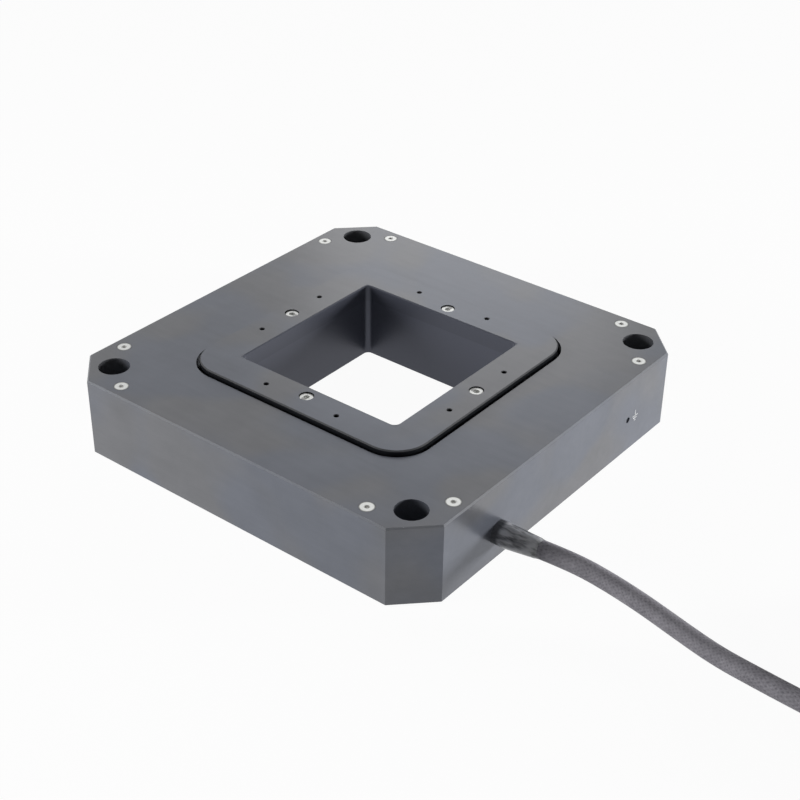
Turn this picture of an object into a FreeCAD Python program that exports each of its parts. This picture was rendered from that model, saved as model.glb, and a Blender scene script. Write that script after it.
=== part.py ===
import FreeCAD, Part

import math
import os

V = FreeCAD.Vector

# A piezo stage that moves a square platform along X, Y and Z by bending metal hinges.
# The origin is the centre of the bottom face. +Z is up, +X is the side that the cable
# leaves by. All sizes are millimetres.

# Plan sizes, from the clear aperture outwards. Each is a width on one side of the centre.
APERTURE_SIZE = 66.0          # the clear square hole, side to side
APERTURE_CORNER_R = 2.0
SLEEVE_WALL = 3.0             # wall of the moving sleeve that lines the aperture
Z_CHANNEL = 10.5              # room for the Z drives and leaf springs
FRAME_BAR = 4.0               # width of the moving frames' bars
FRAME_GAP = 1.5               # running gap beside a moving frame
CHANNEL = 10.0                # room for the X or Y drive and its hinge links
OUTER_WALL = 9.0              # side wall of the body
CORNER_CHAMFER = 12.0         # leg of the upright corner chamfers
EDGE_BEVEL = 0.5              # broken edges of the outside

# Heights, from the bottom face up.
BOTTOM_COVER_T = 2.5
FLOOR_GAP = 1.5               # air under the moving frames
FRAME_H = 19.5
ROOF_GAP = 1.0                # air over the moving frames
TOP_COVER_T = 4.0
PLATE_GAP = 0.5               # air between inner frame and platform plate
PLATE_T = 6.0
SLEEVE_FOOT_Z = 2.0           # where the moving sleeve ends, over the bottom face

# Platform.
PLATE_CORNER_R = 12.0
PLATE_RIM_GAP = 1.2           # visible gap round the platform
PLATE_BEVEL = 0.4
FLANGE_T = 3.0                # sleeve flange that carries the plate
FLANGE_LAND = 4.3             # flange beyond the plate's screws
PLATE_SCREW_OUT_X = 4.2       # plate screws on the X axis, beyond the sleeve
PLATE_SCREW_OUT_Y = 1.7       # plate screws on the Y axis, beyond the sleeve
PLATE_SCREW_SINK = 0.4        # how far the heads lie under the top face
TAP_ALONG = 15.0              # platform taps, along the side
TAP_OUT = 4.5                 # platform taps, beyond the sleeve
TAP_R = 0.8
TAP_DEPTH = 5.0
TAP_BEVEL = 0.2

# Mounting holes in the body's corners, and the solid land round them.
BOLT_INSET = 12.0             # from each side
BOLT_HOLE_R = 3.3
BOLT_BORE_R = 5.3
BOLT_SEAT_T = 8.0             # metal under a bolt head
BOLT_LAND = 9.9               # from a bolt's axis to the pocket
RECESS_CORNER = 2.0           # bottom cover reaches this far past the pocket's corner
LEDGE = 5.0                   # seat of the bottom cover in the side walls
COVER_FIT = 0.2               # gap round the bottom cover
SLEEVE_COVER_GAP = 1.0        # gap from the sleeve to the bottom cover

# Cover screws: inset from the side, and distance from the corner.
COVER_SCREW_INSET = 5.0
COVER_SCREW_CORNER = 23.0
BASE_SCREW_ALONG = 30.0
THREAD_GAP = 0.05

# Hinge links: bars with a thin neck near each end.
LINK_LENGTH = 16.0
LINK_T = 2.0
LINK_NECK_T = 0.5
LINK_NOTCH_R = 1.5
LINK_NOTCH_INSET = 2.4
LINK_H = 6.0
LINK_DROP = 1.0               # link top, under the frame's top
LINK_SPREAD = 2.0             # each link of a pair, from the channel's middle
LINK_BOSS_W = 3.5
LINK_BOSS_MARGIN = 1.0        # boss beyond the links, downwards
ANCHOR_DEPTH = 8.0            # from an anchor's face into the corner's slope
ROOTED = 1.0                  # how far a boss or ledge reaches into the wall behind it

# Flexing drive frames, and the piezo stacks in them.
DRIVE_END_GAP = 1.2           # from a drive to the bosses beside it
DRIVE_DEPTH = 11.0
DRIVE_BLOCK = 6.0             # solid end of a drive frame
DRIVE_END_HALF = 3.0
DRIVE_ARM_T = 0.8
DRIVE_PAD_HALF = 5.0
DRIVE_PAD_STEP = 0.7
DRIVE_KNEE = 0.5              # from an arm's root to the cavity's end
STACK_SIDE_GAP = 0.2
STACK_TOP_MARGIN = 0.5        # stack under the drive frame's faces
STACK_CAP_T = 2.0
PRELOAD_R = 1.3
PRELOAD_SINK = 0.5
Z_DRIVE_H = 10.0              # pad to pad height of the Z drives
Z_DRIVE_SIDE_GAP = 1.75
LUG_T = 2.5                   # sleeve lugs that the Z drives lift
LUG_HALF = 8.0
LUG_SIDE_GAP = 1.0
BRIDGE_GAP = 1.0              # air between a Z drive's bridge and the flange

# Leaf springs that guide the platform in Z.
LEAF_T = 0.3
LEAF_HALF = 30.0
LEAF_RAIL = 3.0
LEAF_ARM_W = 2.2
LEAF_TIE = 3.0
LEAF_TIE_START = 2.0
LEAF_WALL_GAP = 0.2
LEAF_LOW = 2.0                # lower leaves, over the frame's underside
LEAF_HIGH = 14.0              # upper leaves, over the frame's underside
LEAF_LEDGE_T = 2.0
CLAMP_T = 1.7
CLAMP_SCREW_ALONG = 20.0

# Displacement sensors: a probe and a target, face to face.
SENSOR_GAP = 0.5
SENSOR_PLATE_T = 2.4
SENSOR_HALF_L = 9.0
SENSOR_HALF_H = 6.0
SENSOR_FACE_R = 4.5
Z_SENSOR_HALF = 5.0
Z_TARGET_T = 3.0
Z_PROBE_T = 4.0
Z_PROBE_END_GAP = 2.0         # from the probe's free end to the sleeve
Z_TARGET_END_GAP = 0.5        # from the target's free end to the ledge beside it

# Cable, its strain relief and what it joins inside.
CABLE_R = 3.0
CABLE_Y = -35.2
CABLE_Z = 10.2
CABLE_HOLE_GAP = 0.1
BOOT_TAIL_R = 3.6
BOOT_ROOT_R = 4.0
BOOT_TIP_R = 3.3
BOOT_KNEE = 4.0                # straight start of the boot, outside the wall
BOOT_LENGTH = 12.0            # its tapered part
BOOT_RISE = 0.075             # how steeply the tapered part rises
BOOT_LIP = 1.5
CLAMP_BLOCK_T = 4.0
CLAMP_BLOCK_HALF = 4.6
CLAMP_BLOCK_SIDE = 7.0
BOARD_T = 1.2
BOARD_LENGTH = 20.0
BOARD_GAP = 0.4               # from the board to the wall and the clamp
LEAD_R = 0.45
LEAD_PITCH = 1.2
LEAD_BEND_R = 2.0
EARTH_Y = 39.5
EARTH_Z = 13.0
EARTH_R = 1.03
EARTH_DEPTH = 6.0

# Half widths and levels that follow from the sizes above.
APERTURE = APERTURE_SIZE / 2
SLEEVE_OUT = APERTURE + SLEEVE_WALL
INNER_IN = SLEEVE_OUT + Z_CHANNEL
INNER_OUT = INNER_IN + FRAME_BAR
OUTER_IN_X = INNER_OUT + FRAME_GAP
OUTER_IN_Y = INNER_OUT + CHANNEL
OUTER_X = OUTER_IN_X + FRAME_BAR
OUTER_Y = OUTER_IN_Y + FRAME_BAR
POCKET = OUTER_X + CHANNEL
HALF = POCKET + OUTER_WALL
BOLT = HALF - BOLT_INSET
PLATE_HALF = INNER_IN

FRAME_Z0 = BOTTOM_COVER_T + FLOOR_GAP
FRAME_Z1 = FRAME_Z0 + FRAME_H
BODY_Z1 = FRAME_Z1 + ROOF_GAP
COVER_Z1 = BODY_Z1 + TOP_COVER_T
PLATE_Z0 = FRAME_Z1 + PLATE_GAP
PLATE_Z1 = PLATE_Z0 + PLATE_T
FRAME_MID_Z = (FRAME_Z0 + FRAME_Z1) / 2

ROOT2 = math.sqrt(2.0)
ROOT3 = math.sqrt(3.0)
# Where the corner slopes cross: the sum of x and y on each slope.
POCKET_SUM = 2 * BOLT - ROOT2 * BOLT_LAND
OUTER_SUM = POCKET_SUM - ROOT2 * FRAME_GAP
OUTER_IN_SUM = OUTER_SUM - ROOT2 * FRAME_BAR

LINK_Z1 = FRAME_Z1 - LINK_DROP
LINK_Z0 = LINK_Z1 - LINK_H
BOSS_Z0 = LINK_Z0 - LINK_BOSS_MARGIN
X_LINK_MID = OUTER_X + CHANNEL / 2
Y_LINK_MID = INNER_OUT + CHANNEL / 2
LINK_REACH = LINK_SPREAD + LINK_T / 2
X_ANCHOR = POCKET_SUM - X_LINK_MID - LINK_REACH
Y_ANCHOR = OUTER_IN_SUM - Y_LINK_MID - LINK_REACH
X_BOSS = X_ANCHOR - LINK_LENGTH
Y_BOSS = Y_ANCHOR - LINK_LENGTH
DRIVE_HALF = min(X_BOSS, Y_BOSS) - LINK_BOSS_W - DRIVE_END_GAP
LUG_Z1 = FRAME_Z0 + LUG_T
BRIDGE_Z0 = LUG_Z1 + Z_DRIVE_H
FLANGE_Z0 = PLATE_Z0 - FLANGE_T
BRIDGE_Z1 = FLANGE_Z0 - BRIDGE_GAP
PLATE_SCREW_X = SLEEVE_OUT + PLATE_SCREW_OUT_X
PLATE_SCREW_Y = SLEEVE_OUT + PLATE_SCREW_OUT_Y
LEAF_LEVELS = (FRAME_Z0 + LEAF_LOW, FRAME_Z0 + LEAF_HIGH)


class Screw:
    """A socket screw: thread, head and socket sizes, with the hole that it needs."""

    def __init__(self, thread_r, head_r, head_h, socket_w, socket_depth):
        self.thread_r = thread_r
        self.head_r = head_r
        self.head_h = head_h
        self.socket_w = socket_w
        self.socket_depth = socket_depth


M25_FLAT = Screw(1.25, 2.45, 1.2, 1.5, 0.9)
M25_CAP = Screw(1.25, 2.25, 2.5, 2.0, 1.2)
M16_CAP = Screw(0.8, 1.4, 1.0, 0.9, 0.5)
M2_CAP = Screw(1.0, 1.9, 1.4, 1.5, 0.8)
FLAT_RIM = 0.25               # straight rim of a countersunk head
FLAT_RIM_GAP = 0.1
HOLE_GAP = 0.15               # clearance hole round a thread
HEAD_GAP = 0.25               # counterbore round a cap head
TOP_SCREW_LENGTH = 8.0
BASE_SCREW_LENGTH = 7.0
PLATE_SCREW_GRIP = 2.4        # thread in the sleeve's flange
TAP_RUNOUT = 1.0              # tapped holes run this far past their screws


def box(x0, x1, y0, y1, z0, z1):
    """A block between two corners."""
    return Part.makeBox(x1 - x0, y1 - y0, z1 - z0, V(x0, y0, z0))


def rod(radius, start, end):
    """A cylinder from one point to another."""
    run = V(*end) - V(*start)
    return Part.makeCylinder(radius, run.Length, V(*start), run)


def prism(points, z0, z1):
    """An outline in plan, raised from z0 to z1."""
    ring = [V(x, y, z0) for x, y in points]
    return Part.Face(Part.makePolygon(ring + ring[:1])).extrude(V(0, 0, z1 - z0))


def octagon(half_x, half_y, cut, z0, z1):
    """A block with its four upright corners cut off at 45 degrees."""
    points = []
    for sx, sy in ((1, 1), (-1, 1), (-1, -1), (1, -1)):
        corner = [(sx * half_x, sy * (half_y - cut)), (sx * (half_x - cut), sy * half_y)]
        points += corner if sx * sy > 0 else corner[::-1]
    return prism(points, z0, z1)


def rounded(half, radius, z0, z1):
    """A square block with round upright corners."""
    flat = half - radius
    bend = radius / ROOT2
    edges = []
    for turn in range(4):
        quarter = FreeCAD.Rotation(V(0, 0, 1), 90 * turn)
        a, b, c, d = [
            quarter.multVec(p)
            for p in (
                V(half, -flat, z0),
                V(half, flat, z0),
                V(flat + bend, flat + bend, z0),
                V(flat, half, z0),
            )
        ]
        edges.append(Part.makeLine(a, b))
        edges.append(Part.Arc(b, c, d).toShape())
    return Part.Face(Part.Wire(edges)).extrude(V(0, 0, z1 - z0))


def bevelled(shape, size, z, reach_low, reach_high):
    """Breaks the edges that lie at height z, between two distances from the centre."""
    picked = []
    for edge in shape.Edges:
        ends = [v.Point for v in edge.Vertexes]
        reach = max(max(abs(p.x), abs(p.y)) for p in ends)
        level = all(abs(p.z - z) < 1e-6 for p in ends)
        if level and reach_low < reach < reach_high:
            picked.append(edge)
    return shape.makeChamfer(size, picked)


def corners(x, y):
    """The four points (±x, ±y)."""
    return [(sx * x, sy * y) for sx in (1, -1) for sy in (1, -1)]


def four_ways(shape):
    """The shape and its mirror images in both upright middle planes."""
    other = shape.mirror(V(0, 0, 0), V(1, 0, 0))
    pair = [shape, other]
    return pair + [s.mirror(V(0, 0, 0), V(0, 1, 0)) for s in pair]


def hex_key(width, depth, top):
    """The socket in a screw's head, centred on the Z axis, under the level top."""
    radius = width / ROOT3
    ring = [
        (radius * math.cos(math.radians(60 * k)), radius * math.sin(math.radians(60 * k)))
        for k in range(6)
    ]
    return prism(ring, top - depth, top + depth)


def cap_screw(screw, seat, length):
    """A cap screw on the Z axis: its head stands on the level seat."""
    head = Part.makeCylinder(screw.head_r, screw.head_h, V(0, 0, seat))
    shank = Part.makeCylinder(screw.thread_r, length, V(0, 0, seat - length))
    top = seat + screw.head_h
    return head.fuse(shank).cut(hex_key(screw.socket_w, screw.socket_depth, top))


def flat_cone(screw, small_r):
    """The slope under a countersunk head whose top is at level 0."""
    slope = (screw.head_r - screw.thread_r) / (screw.head_h - FLAT_RIM)
    height = (screw.head_r - small_r) / slope
    return Part.makeCone(small_r, screw.head_r, height, V(0, 0, -FLAT_RIM - height))


def flat_screw(screw, length):
    """A countersunk screw on the Z axis, its top at level 0."""
    rim = Part.makeCylinder(screw.head_r, FLAT_RIM, V(0, 0, -FLAT_RIM))
    shank = Part.makeCylinder(screw.thread_r, length - screw.head_h, V(0, 0, -length))
    body = rim.fuse([flat_cone(screw, screw.thread_r), shank])
    return body.cut(hex_key(screw.socket_w, screw.socket_depth, 0))


def flat_hole(screw, thickness):
    """What a countersunk screw needs cut from a cover of this thickness."""
    rim = Part.makeCylinder(screw.head_r + FLAT_RIM_GAP, 2 * FLAT_RIM, V(0, 0, -FLAT_RIM))
    way = Part.makeCylinder(
        screw.thread_r + HOLE_GAP, thickness + 2 * FLAT_RIM, V(0, 0, -thickness - FLAT_RIM)
    )
    return rim.fuse([flat_cone(screw, screw.thread_r + HOLE_GAP), way])


def at(shape, x, y, z, under=False):
    """The shape moved to a point, and turned upside down if it is used from below."""
    placed = shape.copy()
    if under:
        placed.rotate(V(0, 0, 0), V(1, 0, 0), 180)
    placed.translate(V(x, y, z))
    return placed


def quarter_turned(shape):
    """The shape turned a quarter about Z, so that X becomes Y."""
    turned = shape.copy()
    turned.rotate(V(0, 0, 0), V(0, 0, 1), 90)
    return turned


def top_screw_places():
    """Where the eight screws of the top cover stand."""
    side, along = HALF - COVER_SCREW_INSET, HALF - COVER_SCREW_CORNER
    return corners(side, along) + corners(along, side)


def base_screw_places():
    """Where the eight screws of the bottom cover stand."""
    side = POCKET + LEDGE / 2
    return corners(side, BASE_SCREW_ALONG) + corners(BASE_SCREW_ALONG, side)


def plate_screw_places():
    """Where the four screws of the platform plate stand."""
    return [
        (PLATE_SCREW_X, 0),
        (-PLATE_SCREW_X, 0),
        (0, PLATE_SCREW_Y),
        (0, -PLATE_SCREW_Y),
    ]


def body_frame():
    """The fixed ring: side walls, corner lands with bolt holes, and the links' anchors."""
    outer = octagon(HALF, HALF, CORNER_CHAMFER, 0, BODY_Z1)
    body = bevelled(outer, EDGE_BEVEL, 0, 0, 2 * HALF)
    pocket = octagon(POCKET, POCKET, 2 * POCKET - POCKET_SUM, 0, BODY_Z1)
    recess_half = POCKET + LEDGE
    recess_cut = 2 * recess_half - POCKET_SUM - ROOT2 * RECESS_CORNER
    cuts = [pocket, octagon(recess_half, recess_half, recess_cut, 0, BOTTOM_COVER_T)]
    for x, y in corners(BOLT, BOLT):
        cuts.append(Part.makeCylinder(BOLT_HOLE_R, BODY_Z1, V(x, y, 0)))
        cuts.append(Part.makeCylinder(BOLT_BORE_R, BODY_Z1 - BOLT_SEAT_T, V(x, y, BOLT_SEAT_T)))
    depth = TOP_SCREW_LENGTH - TOP_COVER_T + TAP_RUNOUT
    for x, y in top_screw_places():
        tap_r = M25_FLAT.thread_r + THREAD_GAP
        cuts.append(Part.makeCylinder(tap_r, depth, V(x, y, BODY_Z1 - depth)))
    for x, y in base_screw_places():
        tap = Part.makeCylinder(
            M25_FLAT.thread_r + THREAD_GAP, BASE_SCREW_LENGTH + TAP_RUNOUT, V(x, y, 0)
        )
        cuts.append(tap)
    inner_face = V(POCKET, CABLE_Y, CABLE_Z)
    cuts.append(
        Part.makeCylinder(BOOT_TAIL_R + CABLE_HOLE_GAP, OUTER_WALL, inner_face, V(1, 0, 0))
    )
    earth_end = V(HALF - EARTH_DEPTH, EARTH_Y, EARTH_Z)
    cuts.append(Part.makeCylinder(EARTH_R, EARTH_DEPTH, earth_end, V(1, 0, 0)))
    for x, y in clamp_screw_places():
        start = V(POCKET, x, y)
        cuts.append(
            Part.makeCylinder(M2_CAP.thread_r + THREAD_GAP, OUTER_WALL / 2, start, V(1, 0, 0))
        )
    body = body.cut(cuts)
    anchor = box(
        OUTER_X + FRAME_GAP, POCKET + ROOTED, X_ANCHOR, X_ANCHOR + ANCHOR_DEPTH, BOSS_Z0, BODY_Z1
    )
    return body.fuse(four_ways(anchor) + board_posts()).removeSplitter()


def top_cover():
    """The lid round the platform, with bolt bores and countersunk screw holes."""
    plate = octagon(HALF, HALF, CORNER_CHAMFER, BODY_Z1, COVER_Z1)
    plate = bevelled(plate, EDGE_BEVEL, COVER_Z1, 0, 2 * HALF)
    opening = rounded(
        PLATE_HALF + PLATE_RIM_GAP, PLATE_CORNER_R + PLATE_RIM_GAP, BODY_Z1, COVER_Z1
    )
    cuts = [opening]
    for x, y in corners(BOLT, BOLT):
        cuts.append(Part.makeCylinder(BOLT_BORE_R, TOP_COVER_T, V(x, y, BODY_Z1)))
    hole = flat_hole(M25_FLAT, TOP_COVER_T)
    cuts += [at(hole, x, y, COVER_Z1) for x, y in top_screw_places()]
    return plate.cut(cuts)


def bottom_cover():
    """The inset floor plate, open round the moving sleeve."""
    half = POCKET + LEDGE - COVER_FIT
    cut = 2 * half - POCKET_SUM - ROOT2 * (RECESS_CORNER - COVER_FIT)
    plate = octagon(half, half, cut, 0, BOTTOM_COVER_T)
    opening = SLEEVE_OUT + SLEEVE_COVER_GAP
    cuts = [rounded(opening, APERTURE_CORNER_R + SLEEVE_COVER_GAP, 0, BOTTOM_COVER_T)]
    hole = flat_hole(M25_FLAT, BOTTOM_COVER_T)
    cuts += [at(hole, x, y, 0, under=True) for x, y in base_screw_places()]
    return plate.cut(cuts)


def x_frame():
    """The outer moving frame. It carries bosses for its own links and anchors for the next."""
    outer = octagon(OUTER_X, OUTER_Y, OUTER_X + OUTER_Y - OUTER_SUM, FRAME_Z0, FRAME_Z1)
    inner_cut = OUTER_IN_X + OUTER_IN_Y - OUTER_IN_SUM
    frame = outer.cut(octagon(OUTER_IN_X, OUTER_IN_Y, inner_cut, FRAME_Z0, FRAME_Z1))
    anchor = box(
        Y_ANCHOR, Y_ANCHOR + ANCHOR_DEPTH, INNER_OUT + FRAME_GAP, OUTER_Y, BOSS_Z0, FRAME_Z1
    ).common(outer)
    boss = box(
        OUTER_X - ROOTED, POCKET - FRAME_GAP, X_BOSS - LINK_BOSS_W, X_BOSS, BOSS_Z0, FRAME_Z1
    )
    return frame.fuse(four_ways(anchor) + four_ways(boss)).removeSplitter()


def y_frame():
    """The inner moving frame: link bosses, leaf ledges and the bridges of the Z drives."""
    outer_r = APERTURE_CORNER_R + FRAME_BAR
    frame = rounded(INNER_OUT, outer_r, FRAME_Z0, FRAME_Z1)
    frame = frame.cut(rounded(INNER_IN, APERTURE_CORNER_R, FRAME_Z0, FRAME_Z1))
    boss = box(
        Y_BOSS - LINK_BOSS_W, Y_BOSS, INNER_OUT - ROOTED, OUTER_IN_Y - FRAME_GAP, BOSS_Z0, FRAME_Z1
    )
    bridge = box(
        -LUG_HALF, LUG_HALF, SLEEVE_OUT + LUG_SIDE_GAP, INNER_IN + ROOTED, BRIDGE_Z0, BRIDGE_Z1
    )
    pieces = four_ways(boss) + [bridge, bridge.mirror(V(0, 0, 0), V(0, 1, 0))]
    for level in LEAF_LEVELS:
        ledge = box(
            INNER_IN - LEAF_RAIL, INNER_IN + ROOTED, -LEAF_HALF, LEAF_HALF,
            level - LEAF_LEDGE_T, level,
        )
        pieces += [ledge, ledge.mirror(V(0, 0, 0), V(1, 0, 0))]
    frame = frame.fuse(pieces).removeSplitter()
    return frame.cut(clamp_taps(INNER_IN - LEAF_RAIL / 2))


def platform_sleeve():
    """The moving tube that lines the aperture, with its flange, leaf ledges and drive lugs."""
    sleeve = rounded(SLEEVE_OUT, APERTURE_CORNER_R, SLEEVE_FOOT_Z, PLATE_Z0)
    flange = octagon(
        PLATE_SCREW_X + FLANGE_LAND, PLATE_SCREW_Y + FLANGE_LAND, PLATE_CORNER_R, FLANGE_Z0, PLATE_Z0
    )
    lug = box(
        -LUG_HALF, LUG_HALF, SLEEVE_OUT - ROOTED, INNER_IN - LUG_SIDE_GAP, FRAME_Z0, LUG_Z1
    )
    pieces = [flange, lug, lug.mirror(V(0, 0, 0), V(0, 1, 0))]
    for level in LEAF_LEVELS:
        ledge = box(
            SLEEVE_OUT - ROOTED, SLEEVE_OUT + LEAF_RAIL, -LEAF_HALF, LEAF_HALF,
            level - LEAF_LEDGE_T, level,
        )
        pieces += [ledge, ledge.mirror(V(0, 0, 0), V(1, 0, 0))]
    sleeve = sleeve.fuse(pieces).removeSplitter()
    cuts = [rounded(APERTURE, APERTURE_CORNER_R, SLEEVE_FOOT_Z, PLATE_Z0)]
    for x, y in plate_screw_places():
        cuts.append(Part.makeCylinder(M25_CAP.thread_r + THREAD_GAP, FLANGE_T, V(x, y, FLANGE_Z0)))
    return sleeve.cut(cuts + clamp_taps(SLEEVE_OUT + LEAF_RAIL / 2))


def platform_plate():
    """The top plate that carries the load: square hole, sunk screws and tapped holes."""
    plate = rounded(PLATE_HALF, PLATE_CORNER_R, PLATE_Z0, PLATE_Z1)
    plate = plate.cut(rounded(APERTURE, APERTURE_CORNER_R, PLATE_Z0, PLATE_Z1))
    plate = bevelled(plate, PLATE_BEVEL, PLATE_Z1, 0, 2 * PLATE_HALF)
    cuts = []
    head_seat = PLATE_Z1 - PLATE_SCREW_SINK - M25_CAP.head_h
    for x, y in plate_screw_places():
        cuts.append(Part.makeCylinder(M25_CAP.head_r + HEAD_GAP, PLATE_T, V(x, y, head_seat)))
        cuts.append(Part.makeCylinder(M25_CAP.thread_r + HOLE_GAP, PLATE_T, V(x, y, PLATE_Z0)))
    tap = Part.makeCylinder(TAP_R, TAP_DEPTH, V(0, 0, -TAP_DEPTH))
    mouth = Part.makeCone(TAP_R, TAP_R + TAP_BEVEL, TAP_BEVEL, V(0, 0, -TAP_BEVEL))
    tap = tap.fuse(mouth)
    side = SLEEVE_OUT + TAP_OUT
    for x, y in corners(side, TAP_ALONG) + corners(TAP_ALONG, side):
        cuts.append(at(tap, x, y, PLATE_Z1))
    return plate.cut(cuts)


def plate_screws():
    """The four cap screws that hold the plate on the sleeve."""
    seat = PLATE_Z1 - PLATE_SCREW_SINK - M25_CAP.head_h
    screw = cap_screw(M25_CAP, seat, seat - PLATE_Z0 + PLATE_SCREW_GRIP)
    return [at(screw, x, y, 0) for x, y in plate_screw_places()]


def hinge_link():
    """One link along X from the origin: a bar with a round-notched neck near each end."""
    half, neck = LINK_T / 2, LINK_NECK_T / 2
    rise = neck + LINK_NOTCH_R
    span = math.sqrt(LINK_NOTCH_R ** 2 - (rise - half) ** 2)
    edges = []

    def side(sign, start, end):
        """One long side, with its two notches, from start to end."""
        step = 1 if end > start else -1
        here = V(start, sign * half, 0)
        inset = LINK_NOTCH_INSET
        for centre in sorted((inset, LINK_LENGTH - inset), reverse=step < 0):
            into = V(centre - step * span, sign * half, 0)
            out = V(centre + step * span, sign * half, 0)
            edges.append(Part.makeLine(here, into))
            edges.append(Part.Arc(into, V(centre, sign * neck, 0), out).toShape())
            here = out
        edges.append(Part.makeLine(here, V(end, sign * half, 0)))

    side(-1, 0, LINK_LENGTH)
    edges.append(Part.makeLine(V(LINK_LENGTH, -half, 0), V(LINK_LENGTH, half, 0)))
    side(1, LINK_LENGTH, 0)
    edges.append(Part.makeLine(V(0, half, 0), V(0, -half, 0)))
    return Part.Face(Part.Wire(edges)).extrude(V(0, 0, LINK_H))


def x_links():
    """The eight links that let the outer frame move along X: two at each corner."""
    links = []
    for offset in (-LINK_SPREAD, LINK_SPREAD):
        link = quarter_turned(hinge_link())
        link.translate(V(X_LINK_MID + offset, X_BOSS, LINK_Z0))
        links += four_ways(link)
    return links


def y_links():
    """The eight links that let the inner frame move along Y."""
    links = []
    for offset in (-LINK_SPREAD, LINK_SPREAD):
        link = hinge_link()
        link.translate(V(Y_BOSS, Y_LINK_MID + offset, LINK_Z0))
        links += four_ways(link)
    return links


def mirrored_outline(quarter):
    """A closed outline from its points in one quarter, listed from the X axis to the Y axis."""
    upper = quarter + [(-x, y) for x, y in quarter[::-1]]
    return upper + [(-x, -y) for x, y in upper]


def drive_frame(short, depth):
    """A flexing frame along X: when the stack in it grows, its pads pull together."""
    pad = short / 2
    arm_top = pad - DRIVE_PAD_STEP
    knee = DRIVE_HALF - DRIVE_BLOCK - DRIVE_KNEE
    outside = mirrored_outline([
        (DRIVE_HALF, DRIVE_END_HALF),
        (knee, DRIVE_END_HALF),
        (DRIVE_PAD_HALF + DRIVE_PAD_STEP, arm_top),
        (DRIVE_PAD_HALF, arm_top),
        (DRIVE_PAD_HALF, pad),
    ])
    inside = mirrored_outline([
        (knee + DRIVE_KNEE, DRIVE_END_HALF - DRIVE_ARM_T),
        (knee, DRIVE_END_HALF - DRIVE_ARM_T),
        (DRIVE_PAD_HALF + DRIVE_PAD_STEP, arm_top - DRIVE_ARM_T),
    ])
    frame = prism(outside, 0, depth).cut(prism(inside, 0, depth))
    block_end = V(DRIVE_HALF - DRIVE_BLOCK, 0, depth / 2)
    return frame.cut(Part.makeCylinder(PRELOAD_R, DRIVE_BLOCK, block_end, V(1, 0, 0)))


def drive_inside(depth):
    """What sits in a drive frame: the stack, its two end caps and the preload screw."""
    end = DRIVE_HALF - DRIVE_BLOCK
    wide = DRIVE_END_HALF - DRIVE_ARM_T - STACK_SIDE_GAP
    low, high = STACK_TOP_MARGIN, depth - STACK_TOP_MARGIN
    reach = end - STACK_CAP_T
    stack = box(-reach, reach, -wide, wide, low, high)
    caps = [box(reach, end, -wide, wide, low, high), box(-end, -reach, -wide, wide, low, high)]
    tip = (end, 0, depth / 2)
    tail = (DRIVE_HALF - PRELOAD_SINK, 0, depth / 2)
    screw = rod(PRELOAD_R - THREAD_GAP, tip, tail)
    key = hex_key(PRELOAD_R, PRELOAD_R, 0)
    key.rotate(V(0, 0, 0), V(0, 1, 0), 90)
    key.translate(V(*tail))
    return [stack], caps, [screw.cut(key)]


def drive_set(short, depth, place):
    """Frame, stack, caps and screw of one drive, each moved by the function place."""
    groups = ([drive_frame(short, depth)],) + drive_inside(depth)
    return [[place(s) for s in group] for group in groups]


def place_x_drive(shape):
    """From the drive's own frame to the channel on the +X side."""
    moved = quarter_turned(shape)
    moved.translate(V(X_LINK_MID, 0, FRAME_MID_Z - DRIVE_DEPTH / 2))
    return moved


def place_y_drive(shape):
    """From the drive's own frame to the channel on the +Y side."""
    moved = shape.copy()
    moved.translate(V(0, Y_LINK_MID, FRAME_MID_Z - DRIVE_DEPTH / 2))
    return moved


def place_z_drive(shape):
    """From the drive's own frame to the channel beside the sleeve, standing on its edge."""
    moved = shape.copy()
    moved.rotate(V(0, 0, 0), V(1, 0, 0), 90)
    moved.translate(V(0, INNER_IN - Z_DRIVE_SIDE_GAP, LUG_Z1 + Z_DRIVE_H / 2))
    return moved


def z_drives():
    """Both Z drives, as the same four groups as one drive."""
    one = drive_set(Z_DRIVE_H, Z_CHANNEL - 2 * Z_DRIVE_SIDE_GAP, place_z_drive)
    return [group + [s.mirror(V(0, 0, 0), V(0, 1, 0)) for s in group] for group in one]


def guide_leaf():
    """One leaf beside the sleeve on the +X side, its underside at level 0.

    Its inner rail is clamped on the sleeve, its outer rail on the inner frame, and an
    arm to each side joins them, fixed at one end to each rail."""
    inner0 = SLEEVE_OUT + LEAF_WALL_GAP
    inner1 = SLEEVE_OUT + LEAF_RAIL
    outer0 = INNER_IN - LEAF_RAIL
    outer1 = INNER_IN - LEAF_WALL_GAP
    middle = (inner1 + outer0) / 2
    arm0, arm1 = middle - LEAF_ARM_W / 2, middle + LEAF_ARM_W / 2
    pieces = [box(outer0, outer1, -LEAF_HALF, LEAF_HALF, 0, LEAF_T)]
    for sign in (1, -1):
        near, far = LEAF_TIE_START, LEAF_HALF
        spans = (
            (arm0, arm1, near, far),
            (inner1, arm1, near, near + LEAF_TIE),
            (arm0, outer0, far - LEAF_TIE, far),
        )
        for x0, x1, y0, y1 in spans:
            low, high = sorted((sign * y0, sign * y1))
            pieces.append(box(x0, x1, low, high, 0, LEAF_T))
    inner = box(inner0, inner1, -LEAF_HALF, LEAF_HALF, 0, LEAF_T)
    holes = [
        Part.makeCylinder(M16_CAP.thread_r + HOLE_GAP, LEAF_T, V(x, y, 0))
        for x in (SLEEVE_OUT + LEAF_RAIL / 2, INNER_IN - LEAF_RAIL / 2)
        for y in (CLAMP_SCREW_ALONG, -CLAMP_SCREW_ALONG)
    ]
    return inner.fuse(pieces).removeSplitter().cut(holes)


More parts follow.
